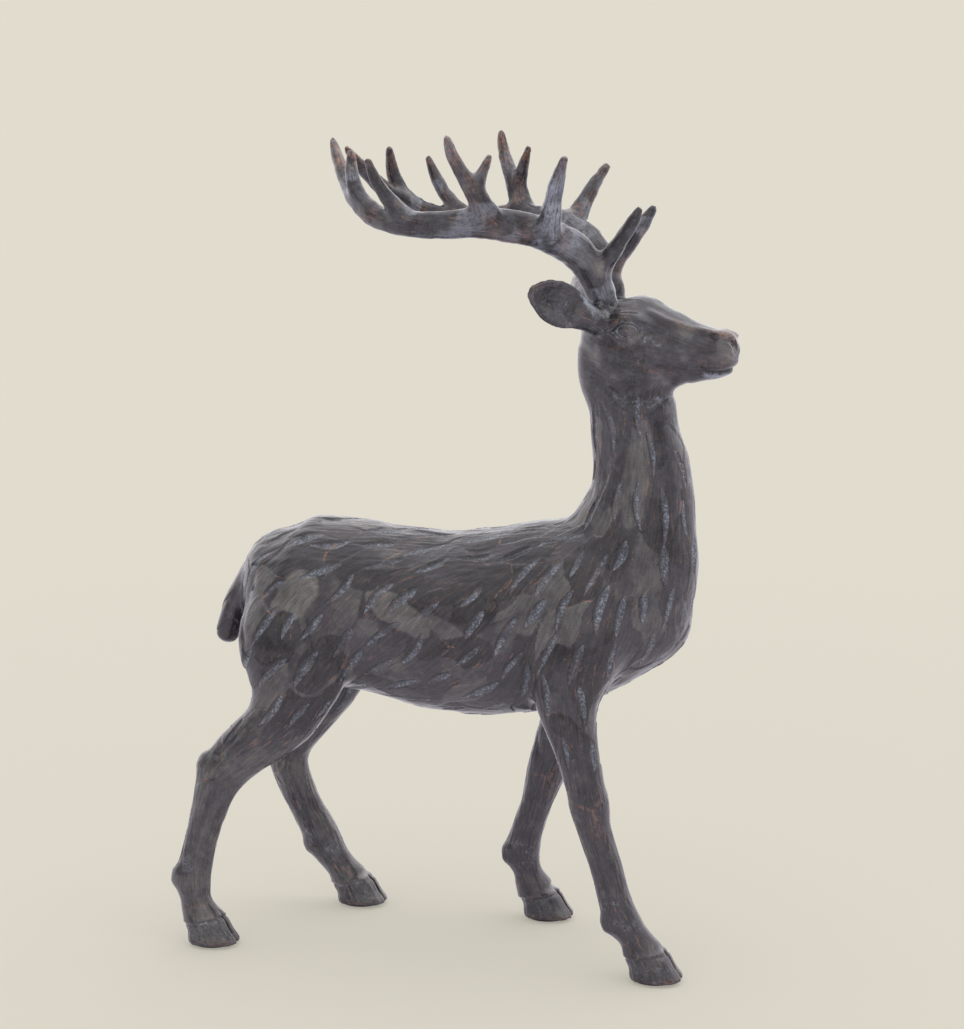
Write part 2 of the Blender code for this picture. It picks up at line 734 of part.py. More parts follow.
def make_tail(torso, clearance, collection):
    bm = bmesh.new()
    loft(bm, TAIL, sides=20)
    pattern = blended("tail_pattern", bm, FINE_VOXEL, 3, TAIL_FACES)
    tail = add_object("tail", pattern.data.copy(), collection)
    boolean(tail, "DIFFERENCE", clearance)
    boolean(tail, "UNION", cylinder("tail_peg", TAIL_PEG_START, TAIL_PEG_END, TAIL_PEG_R, 16))
    along = (TAIL_PEG_END - TAIL_PEG_START).normalized()
    hole = cylinder("tail_socket", TAIL_PEG_START, TAIL_PEG_END + along * GAP, TAIL_PEG_R + GAP, 16)
    boolean(torso, "DIFFERENCE", hole)


def make_plugs(pattern, torso, collection):
    """The plug of the belly's core hole, and the small ones where core pins crossed the wall."""
    skin = skin_point(pattern, (BELLY_PLUG_X, 0, 60), (0, 0, 1))
    low, high = Vector((BELLY_PLUG_X, 0, skin.z)), Vector((BELLY_PLUG_X, 0, skin.z + WALL))
    hole = cylinder("belly_hole", low - Vector((0, 0, 10)), high + Vector((0, 0, 8)), PLUG_R + GAP, 28)
    boolean(torso, "DIFFERENCE", hole)
    plug = fastener("belly_plug", low, high, PLUG_R, collection, 28)
    slot = box("plug_slot", (BELLY_PLUG_X - 6, -0.8, low.z - 5), (BELLY_PLUG_X + 6, 0.8, low.z + 1.5))
    boolean(plug, "DIFFERENCE", slot)
    plugs = [plug]
    for where, (x, z) in CORE_PLUG_SPOTS.items():
        for side, label in ((-1, "right"), (1, "left")):
            skin = skin_point(pattern, (x, side * 90, z), (0, -side, 0))
            start, end = Vector((x, skin.y, z)), Vector((x, skin.y - side * WALL, z))
            name = f"core_plug_{where}_{label}"
            past = Vector((0, side * 6, 0))
            hole = cylinder(name + "_hole", start + past, end - past, CORE_PLUG_R + GAP, 16)
            boolean(torso, "DIFFERENCE", hole)
            plugs.append(fastener(name, start, end, CORE_PLUG_R, collection))
    return plugs


def centre_over_ground(collection):
    """Moves the whole model so that its box is centred over the origin."""
    corners = np.array([obj.matrix_world @ Vector(c) for obj in collection.objects for c in obj.bound_box])
    middle = (corners.min(axis=0) + corners.max(axis=0)) / 2
    shift = Matrix.Translation((-middle[0], -middle[1], 0))
    for obj in collection.objects:
        obj.data.transform(shift)
    root = bpy.data.objects.new("stag_root", None)
    collection.objects.link(root)
    for obj in collection.objects:
        if obj is not root:
            obj.parent = root


def finish_looks(collection, pins, pads):
    materials = make_materials()
    for obj in collection.objects:
        if obj.type != "MESH":
            continue
        kind = "pin_bronze" if obj in pins else "felt" if obj in pads else "bronze"
        obj.data.materials.clear()
        obj.data.materials.append(materials[kind])
        cleaned(obj)
        obj.data.shade_smooth()
        obj.data.set_sharp_from_angle(angle=math.radians(40))


def build():
    clear_scene()
    stag = new_collection("bronze_stag")
    new_collection("cutters", hidden=True)
    pattern = stag_pattern()
    torso = make_torso(pattern, stag)
    head = make_head(pattern, stag)
    clearance = grown(pattern, "clearance", GAP + 0.2)
    pins = [make_leg(name, pattern, torso, stag) for name in HOOVES]
    pads = [make_foot_pad(name, stag) for name in HOOVES]
    pins += [make_neck_pin(side, pattern, head, torso, stag) for side in (-1, 1)]
    pins += make_antlers(head, clearance, pattern, stag)
    make_ears(head, clearance, stag)
    make_tail(torso, clearance, stag)
    pins += make_plugs(pattern, torso, stag)
    centre_over_ground(stag)
    finish_looks(stag, pins, pads)


build()
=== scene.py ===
"""Looks of the bronze stag: the chased, gouged and patinated skin over its castings.

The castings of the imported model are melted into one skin, so that no joint shows, as a foundry
chases its joints away. The skin is then carved: gouge cuts and broad facets in the coat, creases,
eyes, nostrils, mouth, tendons and hooves. Last it is split again where the castings part, and each
piece stands for its casting.

Sizes are in millimetres. Places are given in the pattern's frame: +X towards the head, +Y to the
stag's left, +Z up, with x counted from a line 118.5 mm behind the right forefoot's middle.
"""

import math
from types import SimpleNamespace

import bmesh
import bpy
import numpy as np
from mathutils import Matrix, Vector, kdtree
from mathutils.bvhtree import BVHTree


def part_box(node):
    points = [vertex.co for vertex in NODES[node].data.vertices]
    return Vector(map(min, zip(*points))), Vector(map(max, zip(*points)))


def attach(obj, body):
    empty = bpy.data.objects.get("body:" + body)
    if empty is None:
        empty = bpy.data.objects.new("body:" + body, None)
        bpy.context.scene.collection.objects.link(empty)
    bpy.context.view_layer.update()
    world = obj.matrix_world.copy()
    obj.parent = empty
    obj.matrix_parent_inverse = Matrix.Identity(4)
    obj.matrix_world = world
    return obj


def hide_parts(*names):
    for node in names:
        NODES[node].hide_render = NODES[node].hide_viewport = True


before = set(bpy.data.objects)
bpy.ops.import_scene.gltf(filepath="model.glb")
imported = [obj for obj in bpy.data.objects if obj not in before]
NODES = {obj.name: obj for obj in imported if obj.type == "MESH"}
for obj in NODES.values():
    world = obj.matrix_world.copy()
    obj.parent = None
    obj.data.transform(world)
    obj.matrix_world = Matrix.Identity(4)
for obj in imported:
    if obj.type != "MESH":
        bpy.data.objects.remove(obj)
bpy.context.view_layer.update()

MM = 0.001
PAD_LOW, PAD_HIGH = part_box("forefoot_pad_right")
FOREFOOT_X = 118.5
ORIGIN = np.array([(PAD_LOW.x + PAD_HIGH.x) / 2 / MM - FOREFOOT_X, 0.0, 0.0])
RNG = np.random.default_rng(7)

SKIN_VOXEL = 0.93
GRAIN_VOXEL = 2.2
CROTCH_ROUNDS = 160
LEG_JOINT_Z = 139.0
NECK_JOINT_Z = 342.0
SOLE_Z = 2.2
SUNK = 2.4
HORN_LOW, HORN_HIGH = 372.0, 425.0
LEGS = ("foreleg_right", "foreleg_left", "hindleg_right", "hindleg_left")
HORNS = ("antler_right", "antler_left", "ear_right", "ear_left")
CASTINGS = ("torso_shell", "head_shell", *LEGS, *HORNS, "tail")

# Gouge cuts: half-length, half-width and depth, and how far apart along, across and off the hair.
GOUGE_LENGTH = (9.5, 15.5)
GOUGE_WIDTH = (2.0, 3.2)
GOUGE_DEPTH = (0.85, 1.4)
GOUGE_GAP = (27.0, 12.6, 20.0)
GOUGE_TURN = 11.0
GOUGE_BEND = 0.014
# Facets of the coat: how far apart, how far one can reach and how much they tilt.
FACET_GAP = 17.0
FACET_REACH = 60.0
FACET_TILT = 0.020
# Marks at places that nothing has touched: deep outside any cut, and far from any border.
NO_CUT = -3.0
NO_BORDER = 6.0

# Centre line of each leg: elbow or stifle, knee or hock, fetlock, coronet, sole.
LEG_LINES = {
    "foreleg_right": [(66, -42, 150), (77.5, -46, 104), (99, -51, 37), (112.5, -51, 17), (118, -51, 2)],
    "foreleg_left": [(50, 39, 152), (30.5, 44, 98), (14.5, 50, 43), (24, 51, 19), (30, 51, 2)],
    "hindleg_right": [
        (-113, -41, 153), (-151, -46, 113), (-172.5, -50, 42), (-166.5, -51, 17), (-161, -51, 2),
    ],
    "hindleg_left": [
        (-112, 40, 153), (-141.5, 44, 103), (-120, 49, 43), (-103, 51, 17), (-95.5, 51, 2),
    ],
}

# How the coat lies: x, z and the angle in degrees that the hair rises towards the head.
COAT_FLOW = [
    (-135, 235, 42), (-95, 258, 26), (-50, 256, 22), (0, 252, 22), (45, 262, 32),
    (-130, 205, 62), (-100, 190, 58), (-65, 215, 46), (-25, 205, 46), (15, 205, 52),
    (-45, 168, 36), (0, 158, 32), (45, 225, 60), (70, 195, 68), (100, 200, 70),
    (112, 235, 80), (75, 255, 72), (88, 290, 88), (85, 335, 94), (120, 300, 90),
    (62, 165, 100), (70, 140, 98), (-118, 160, 50), (-135, 140, 46), (-160, 205, 66),
]


# ---------------------------------------------------------------- meshes and arrays

def baked(obj):
    """The object's shape with its modifiers applied, as a mesh of its own."""
    bpy.context.view_layer.update()
    graph = bpy.context.evaluated_depsgraph_get()
    return bpy.data.meshes.new_from_object(obj.evaluated_get(graph))


def placed(name, data):
    """A new object in the scene."""
    obj = bpy.data.objects.new(name, data)
    bpy.context.scene.collection.objects.link(obj)
    return obj


def remeshed(mesh, voxel):
    """The mesh as an even net of quads of this size in millimetres."""
    obj = placed("coarse", mesh)
    remesh = obj.modifiers.new("remesh", "REMESH")
    remesh.mode = "VOXEL"
    remesh.voxel_size = voxel * MM
    net = baked(obj)
    bpy.data.objects.remove(obj)
    return net


def melted(names):
    """The named castings remeshed together into one skin without its inner walls."""
    bm = bmesh.new()
    for name in names:
        bm.from_mesh(NODES[name].data)
    bmesh.ops.remove_doubles(bm, verts=bm.verts, dist=1e-6)
    mesh = bpy.data.meshes.new("melt")
    bm.to_mesh(mesh)
    bm.free()
    return outer_shell(remeshed(mesh, SKIN_VOXEL))


def outer_shell(mesh):
    """Keeps only the largest connected shell of a mesh."""
    edges = edges_of(mesh)
    label = np.arange(len(mesh.vertices))
    while True:
        one, other = label[edges[:, 0]], label[edges[:, 1]]
        apart = one != other
        if not apart.any():
            break
        one, other = one[apart], other[apart]
        np.minimum.at(label, np.maximum(one, other), np.minimum(one, other))
        while (label[label] != label).any():
            label = label[label]
    biggest = np.bincount(label).argmax()
    bm = bmesh.new()
    bm.from_mesh(mesh)
    strays = [v for v, mine in zip(bm.verts, label == biggest) if not mine]
    bmesh.ops.delete(bm, geom=strays, context="VERTS")
    bm.to_mesh(mesh)
    bm.free()
    return mesh


def read(items, field, kind=np.int32, width=1):
    """One field of all items, as an array."""
    out = np.empty(len(items) * width, kind)
    items.foreach_get(field, out)
    return out.reshape(-1, width) if width > 1 else out


def add_layer(mesh, name, values):
    """Stores a number or vector for each vertex."""
    kind, field = ("FLOAT_VECTOR", "vector") if values.ndim == 2 else ("FLOAT", "value")
    layer = mesh.attributes.new(name, kind, "POINT")
    layer.data.foreach_set(field, values.astype(np.float32).ravel())


def take_layer(mesh, name):
    """Reads a layer of numbers and removes it."""
    values = read(mesh.attributes[name].data, "value", np.float32)
    mesh.attributes.remove(mesh.attributes[name])
    return values


def points_of(mesh):
    """Vertex places in millimetres, in the pattern's frame."""
    return read(mesh.vertices, "co", np.float32, 3).astype(float) / MM - ORIGIN


def set_points(mesh, points):
    mesh.vertices.foreach_set("co", ((points + ORIGIN) * MM).astype(np.float32).ravel())
    mesh.update()


def normals_of(mesh):
    return read(mesh.vertices, "normal", np.float32, 3).astype(float)


def edges_of(mesh):
    return read(mesh.edges, "vertices", width=2)


def relaxed(values, edges, rounds, weight=1.0):
    """Values at the vertices, blurred over the mesh."""
    values = values.copy()
    count = len(values)
    a, b = edges[:, 0], edges[:, 1]
    degree = np.maximum(np.bincount(edges.ravel(), minlength=count), 1)
    weight = np.broadcast_to(weight, (count,)) * 0.5
    for _ in range(rounds):
        for k in range(values.shape[1]):
            column = values[:, k]
            total = np.bincount(a, column[b], count) + np.bincount(b, column[a], count)
            values[:, k] = column + weight * (total / degree - column)
    return values


def combed(values, points, edges, axis, rounds):
    """Values at the vertices drawn out along the axis field, like the marks of a stiff brush."""
    a, b = edges[:, 0], edges[:, 1]
    run = unit(points[b] - points[a])
    weight = np.abs((run * unit(axis[a] + axis[b])).sum(1)) ** 6
    count = len(values)
    total = np.bincount(a, weight, count) + np.bincount(b, weight, count)
    for _ in range(rounds):
        drawn = np.bincount(a, weight * values[b], count) + np.bincount(b, weight * values[a], count)
        values = (values + drawn) / (1 + total)
    values = values - relaxed(values[:, None], edges, 12)[:, 0]
    return np.clip(values / values.std(), -2.5, 2.5)


def webbed(mesh, among, rounds):
    """Fills the sharp inner corners among these vertices, as wax is run into a crotch."""
    edges = edges_of(mesh)
    edges = edges[among[edges].all(1)]
    used, index = np.unique(edges, return_inverse=True)
    edges = index.reshape(-1, 2)
    points = points_of(mesh)
    start = points.copy()
    part = points[used]
    degree = np.maximum(np.bincount(edges.ravel(), minlength=len(used)), 1)[:, None]
    for turn in range(rounds):
        if turn % 15 == 0:
            points[used] = part
            set_points(mesh, points)
            normals = normals_of(mesh)[used]
        pull = relaxed(part, edges, 1, 2.0) - part
        hollow = np.clip((pull * normals).sum(1, keepdims=True), 0, None)
        part = part + 0.9 * hollow * normals
    points[used] = relaxed(part, edges, 4)
    set_points(mesh, points)
    return np.linalg.norm(points - start, axis=1)


def step(x, low, high):
    """0 below low, 1 above high and smooth between."""
    t = np.clip((x - low) / (high - low), 0.0, 1.0)
    return t * t * (3 - 2 * t)


def bump(x, width):
    return np.exp(-((x / width) ** 2))


def spot(a, b, wide, high):
    """A soft oval patch, wide along a and high along b."""
    return bump(np.hypot(a / wide, b / high), 1.0)


def unit(v):
    return v / np.maximum(np.linalg.norm(v, axis=-1, keepdims=True), 1e-9)


def lay(marks, key, values):
    """Raises a mark where these values are higher than it is already."""
    marks[key] = np.maximum(marks[key], values)


def neighbourhood(points):
    """A quick way to find the points within a cube round a place."""
    order = np.argsort(points[:, 0])
    places = points[order]
    xs = np.ascontiguousarray(places[:, 0])

    def near(centre, reach):
        low, high = np.searchsorted(xs, (centre[0] - reach, centre[0] + reach))
        close = (np.abs(places[low:high, 1:] - centre[1:]) < reach).all(1)
        return order[low:high][close]

    return near


def ripple(points, size, seed):
    """Smooth noise with features of this size, about -1 to 1."""
    place = points / size + seed * np.array([17.3, 5.1, 9.7])
    cell = np.floor(place).astype(np.int64)
    t = place - cell
    t = t * t * t * (t * (t * 6 - 15) + 10)
    out = np.zeros(len(points))
    for corner in range(8):
        bits = np.array([corner & 1, corner >> 1 & 1, corner >> 2])
        i, j, k = (cell + bits).T
        mixed = i * 73856093 ^ j * 19349663 ^ k * 83492791
        mixed = (mixed ^ mixed >> 13) * 1274126177 & 0x7FFFFFFF
        value = (mixed ^ mixed >> 16) % 65521 / 32760.5 - 1
        out += value * np.where(bits, t, 1 - t).prod(1)
    return 1.3 * out


# ---------------------------------------------------------------- the coat

def coat_direction(points, normals):
    """Which way the hair lies, in the surface."""
    flow = np.array(COAT_FLOW, float)
    weight = 1.0 / (((points[:, None, [0, 2]] - flow[None, :, :2]) ** 2).sum(2) + 60.0) ** 2
    angle = np.radians((weight * flow[:, 2]).sum(1) / weight.sum(1))
    direction = np.stack([np.cos(angle), np.zeros(len(angle)), np.sin(angle)], 1)
    return unit(direction - (direction * normals).sum(1, keepdims=True) * normals)


def coat_share(points):
    """Where the coat is gouged: the trunk, the neck and the tops of the legs."""
    x, z = points[:, 0], points[:, 2]
    foreleg = (x > 20) & (x < 100)
    low = np.where(foreleg, 128.0, np.where(x < -60, 136.0, 120.0))
    share = (z > low) & (z < 333)
    return share & ~((z < 150) & (x > -60) & (x < 20))


def gouge_places(points, normals, along):
    """Spots for the gouge cuts, spread evenly, wider apart along the hair than across it."""
    allowed = np.flatnonzero(coat_share(points))
    order = RNG.permutation(allowed)[:9000]
    chosen = np.empty(0, int)
    for i in order:
        if len(chosen):
            gap = points[chosen] - points[i]
            run = (gap * along[i]).sum(1)
            rise = (gap * normals[i]).sum(1)
            across = np.sqrt(np.maximum((gap ** 2).sum(1) - run ** 2 - rise ** 2, 0))
            reach = zip((run, across, rise), GOUGE_GAP)
            spread = sum((distance / room) ** 2 for distance, room in reach)
            if spread.min() < 1:
                continue
        chosen = np.append(chosen, i)
    return chosen


def carve_gouges(points, normals, along, marks):
    """Willow-leaf cuts as one sweep of a gouge leaves them: blunt above, drawn out below."""
    depth = np.zeros(len(points))
    wobble = 0.22 * ripple(points, 2.6, 61)
    around = neighbourhood(points)
    for i in gouge_places(points, normals, along):
        centre, normal = points[i], normals[i]
        turn = math.radians(RNG.uniform(-GOUGE_TURN, GOUGE_TURN))
        forward = unit(along[i] * math.cos(turn) + np.cross(normal, along[i]) * math.sin(turn))
        side = np.cross(normal, forward)
        on_neck, on_leg = centre[2] > 262, centre[2] < 160
        length = RNG.uniform(*GOUGE_LENGTH) * (1.15 if on_neck else 0.85 if on_leg else 1.0)
        width = RNG.uniform(*GOUGE_WIDTH) * (0.75 if on_neck or on_leg else 1.0)
        deep = RNG.uniform(*GOUGE_DEPTH) * (0.8 if on_neck or on_leg else 1.0)
        bend = RNG.uniform(-GOUGE_BEND, GOUGE_BEND)
        near = around(centre, length + 4)
        offset = points[near] - centre
        u = (offset @ forward) / length
        w = offset @ side - bend * (u * length) ** 2
        facing = (normals[near] @ normal) > 0.2
        leaf = width * np.clip(1 - u ** 2, 0, 1) ** 0.8 * (1 + 0.35 * u)
        inward = leaf - np.abs(w) - np.maximum(np.abs(u) - 1, 0) * length
        inward = inward + wobble[near]
        inward = np.where(facing, np.clip(inward, NO_CUT, -NO_CUT), NO_CUT)
        hollow = np.clip(inward / width, 0, 1)
        depth[near] = np.maximum(depth[near], deep * np.sin(hollow * math.pi / 2))
        ridge = 0.16 * bump(inward + 0.7, 0.5) * (np.abs(u) < 0.9)
        depth[near] = np.where(hollow > 0, depth[near], np.minimum(depth[near], -ridge))
        mine = inward > marks["gouge"][near]
        marks["gouge"][near[mine]] = inward[mine]
        # Across the cut, -1 to 1: the patina paints shade on the positive side, the upper side on the
        # right flank.
        marks["side"][near[mine]] = np.clip(w[mine] / width, -1, 1)
    return -depth


def carve_facets(points, normals, along, marks):
    """Long flat strokes of the knife, each at its own slight tilt, with a faint step between."""
    allowed = np.flatnonzero((points[:, 2] > 100) & (points[:, 2] < 350))
    order = RNG.permutation(allowed)[:7000]
    seeds = np.empty(0, int)
    for i in order:
        if len(seeds) == 0 or ((points[seeds] - points[i]) ** 2).sum(1).min() > FACET_GAP ** 2:
            seeds = np.append(seeds, i)
    warped = points + 5.0 * np.stack([ripple(points, 19.0, k) for k in (21, 22, 23)], 1)
    best = np.full(len(points), 1e9)
    second = np.full(len(points), 1e9)
    owner = np.zeros(len(points), int)
    rival = np.zeros(len(points), int)
    around = neighbourhood(points)
    for k, i in enumerate(seeds):
        near = around(points[i], FACET_REACH)
        gap = warped[near] - points[i]
        run = gap @ along[i]
        distance = np.sqrt((gap ** 2).sum(1) - 0.86 * run ** 2) + (k % 5)
        nearer = distance < best[near]
        runner_up = near[~nearer & (distance < second[near])]
        rival[near[nearer]] = owner[near[nearer]]
        rival[runner_up] = k
        second[near] = np.where(nearer, best[near], np.minimum(second[near], distance))
        owner[near[nearer]] = k
        best[near] = np.where(nearer, distance, best[near])
    tilt = RNG.normal(0, FACET_TILT, (len(seeds), 3))
    plane = np.clip(((points - points[seeds[owner]]) * tilt[owner]).sum(1), -0.5, 0.5)
    share = step(points[:, 2], 100, 135) * (1 - step(points[:, 2], 325, 345))
    apart = unit(points[seeds[owner]] - points[seeds[rival]])
    crossing = step(np.abs((apart * along).sum(1)), 0.35, 0.6)
    chance = (owner * 7 + rival * 13) % 5 < 2
    border = np.minimum(second - best + NO_BORDER * crossing * ~chance, NO_BORDER)
    marks["border"] = np.where(share > 0, border, NO_BORDER)
    marks["tone"] += RNG.uniform(-1, 1, len(seeds))[owner] * step(points[:, 2], 128, 150) * share
    return (plane - 0.10 * bump(second - best, 1.2)) * share


# Broad strokes that stand out on the flank: x, z, rise in degrees, half-length, half-width, tone.
BROAD_STROKES = [
    (-106, 222, 66, 17, 12, 1.9), (-41, 214, -24, 24, 9, 1.5), (-12, 206, -22, 14, 6, 1.1),
    (-89, 181, 62, 20, 11, -1.6), (-5, 191, 18, 24, 9, -1.6), (-70, 237, -14, 17, 8, -1.4),
    (-30, 178, 12, 30, 9, 0.6), (-64, 196, 70, 15, 10, 0.7), (45, 222, 64, 20, 8, 0.8),
    (78, 182, 80, 18, 8, -1.2), (28, 236, 40, 22, 9, -1.2), (-118, 196, 64, 18, 8, -0.9),
    (93, 262, 84, 26, 8, -0.5), (66, 300, 88, 34, 9, 1.2), (84, 312, 92, 34, 7, 0.2),
    (100, 300, 90, 32, 8, 0.9),
]


def carve_broad_strokes(points, marks):
    """Flat planes of one knife stroke each, lighter or darker than the coat about them."""
    out = np.zeros(len(points))
    waver = 1.6 * ripple(points, 9.0, 62)
    for side in (-1, 1):
        for x, z, rise, length, width, tone in BROAD_STROKES:
            if side > 0:
                x, z, tone = x + 9, z - 5, 0.5 * tone
            angle = math.radians(rise)
            dx, dz = points[:, 0] - x, points[:, 2] - z
            u = dx * math.cos(angle) + dz * math.sin(angle)
            v = -dx * math.sin(angle) + dz * math.cos(angle) + 0.12 * u
            taper = np.sqrt(np.clip(1 - (u / length) ** 4, 0, 1))
            inside = np.minimum(length - np.abs(u), width * taper - np.abs(v) + waver)
            inside = np.where(points[:, 1] * side > 12, inside, -9.0)
            share = step(inside, -1.2, 1.6)
            marks["tone"] = marks["tone"] * (1 - share) + tone * share
            edge = np.abs(inside) + NO_BORDER * ((v > 0) | (np.abs(u) > 0.75 * length))
            marks["border"] = np.minimum(marks["border"], np.where(inside > -2, edge, NO_BORDER))
            out -= 0.20 * step(inside, -2.2, 2.2)
    return out


# Where the trunk swells or falls back by a trace: x, z, radius, height.
SWELLS = [(-145, 240, 13, 1.5), (-118, 262, 16, 0.9), (104, 182, 17, -1.8), (-70, 150, 8, -0.8)]


def carve_swells(points):
    out = np.zeros(len(points))
    for x, z, radius, height in SWELLS:
        out += height * bump(np.hypot(points[:, 0] - x, points[:, 2] - z), radius)
    return out


def carve_coat_ripples(points):
    """The low undulation of hand-worked wax, shallow on the legs and head."""
    z = points[:, 2]
    share = 0.35 + 0.65 * step(z, 120, 160) * (1 - step(z, 340, 355))
    return (0.30 * ripple(points, 16.0, 1) + 0.14 * ripple(points, 6.0, 2)) * share


def nearest_on(places, line):
    """Distance from a polyline, the segment of it that is nearest and the share along that."""
    line = np.array(line, float)
    best = np.full(len(places), 1e9)
    segment, share = np.zeros(len(places), int), np.zeros(len(places))
    for k, (a, b) in enumerate(zip(line, line[1:])):
        t = np.clip(((places - a) @ (b - a)) / ((b - a) @ (b - a)), 0, 1)
        distance = np.linalg.norm(places - a - t[:, None] * (b - a), axis=1)
        closer = distance < best
        best[closer], segment[closer], share[closer] = distance[closer], k, t[closer]
    return best, segment, share


def along_line(points, line):
    """Distance from a polyline drawn in side view, and how far along it the nearest place is."""
    distance, segment, share = nearest_on(points[:, [0, 2]], line)
    return distance, (segment + share) / (len(line) - 1)


def stroke(points, line, width):
    """1 on a polyline drawn in side view, fading to both sides of it."""
    return bump(along_line(points, line)[0], width)


# Folds seen from the side, in x and z: their line, depth and half-width.
FOLDS = [
    ([(31, 212), (37, 200), (39, 186), (37, 170), (34, 152)], 1.3, 2.0),  # behind the shoulder
    ([(-101, 214), (-97, 198), (-93, 184), (-90, 168)], 1.2, 2.2),  # front of the haunch
    ([(-84, 212), (-80, 196), (-77, 180), (-76, 164)], 0.9, 2.0),  # flank
    ([(-135, 236), (-141, 218), (-143, 200), (-141, 186)], 0.9, 2.2),  # between tail and haunch
    ([(94, 178), (86, 168), (80, 156)], 1.2, 2.4),  # inside of the foreleg
]


def carve_folds(points, normals, marks):
    out = np.zeros(len(points))
    facing = step(np.abs(normals[:, 1]), 0.25, 0.6)
    for line, depth, width in FOLDS:
        distance, where = along_line(points, line)
        share = facing * step(where, 0, 0.2) * (1 - step(where, 0.85, 1.0))
        cut = bump(distance, width) * share
        out -= depth * cut
        lay(marks, "wax", 0.12 * bump(distance, 0.8) * share)
        # Painted shade along and beside each fold.
        lay(marks, "dark", 0.5 * bump(distance, width * 2.2) * share)
    return out


# ---------------------------------------------------------------- head

def eye_chart(points, side):
    """Places round an eye: forwards, upwards and whether they are on its side of the head."""
    u = points[:, 0] - 93.8
    v = points[:, 2] - 384.9 - 0.08 * u
    mine = step(points[:, 1] * side, 8.0, 12.0) * (np.abs(u) < 30) * (np.abs(v) < 30)
    return u, v, mine


def carve_eyes(points, marks):
    out = np.zeros(len(points))
    for side in (-1, 1):
        u, v, mine = eye_chart(points, side)
        pinch = 1 + 0.35 * np.abs(u / 6.1) ** 3
        r = np.sqrt((u / 6.1) ** 2 + (v * pinch / 3.6) ** 2)
        ball = np.sqrt(np.clip(1 - (r / 0.95) ** 2, 0, 1))
        socket = bump(r - 1.75, 0.6)
        lid = bump(r - 1.18, 0.17)
        slit = bump(r - 0.98, 0.09)
        fold = bump(r - 1.62, 0.12) * step(v, -1, 3)
        duct = spot(u - 8.4, v + 1.4, 2.6, 1.6)
        tear = stroke(points, [(101, 383), (106, 380), (114, 377)], 2.6)
        tear *= step(u, 6.5, 9.0) * (1 - step(u, 15, 23))
        behind = stroke(points, [(87, 384), (82, 385), (76, 383.5)], 1.3)
        under = stroke(points, [(96, 375), (99, 371), (101, 366)], 0.7)
        out += mine * (0.9 * ball - 0.55 * socket + 0.55 * lid - 0.6 * slit - 0.3 * fold - 0.6 * duct)
        out -= mine * (0.35 * tear + 0.25 * under - 0.3 * tear * ripple(points, 2.4, 44))
        wax = np.maximum(0.95 * bump(r - 0.97, 0.10), 0.4 * fold)
        wax = np.maximum(wax, np.maximum(0.5 * duct, np.maximum(0.36 * tear, 0.30 * behind)))
        wax = np.maximum(wax, 0.34 * bump(r - 1.55, 0.40))
        wax = np.maximum(wax, 0.30 * bump(r, 0.5))
        near = bump(np.hypot((u - 5.0) / 13.0, v / 7.0), 1.0)
        lay(marks, "haze", mine * near)
        lay(marks, "wax", mine * wax)
        iris = bump(np.hypot(u - 0.5, v), 2.6) - 0.9 * bump(np.hypot(u - 0.5, v), 1.0)
        worn = np.maximum(0.6 * iris, 0.8 * bump(r - 1.30, 0.14) * step(-v, -1, 3))
        brow = spot(u + 2, v - 10.0, 5, 2.6)
        brow = np.maximum(brow, spot(u + 7, v - 6.5, 3, 2.0))
        low = spot(u + 3, v + 9.0, 6, 1.6)
        worn = np.maximum(worn, np.maximum(0.85 * brow, np.maximum(0.7 * under, 0.5 * low)))
        lay(marks, "worn", mine * worn)
        # Painted shade in the eye's socket and in the slit round the ball.
        lay(marks, "dark", mine * 0.35 * bump(r - 1.45, 0.25))
        lay(marks, "dark", mine * 0.8 * bump(r - 1.12, 0.08))
    return out


def mouth_height(x):
    """The line between the lips, seen from the side."""
    return 360.3 + 0.011 * (x - 146.0) ** 2


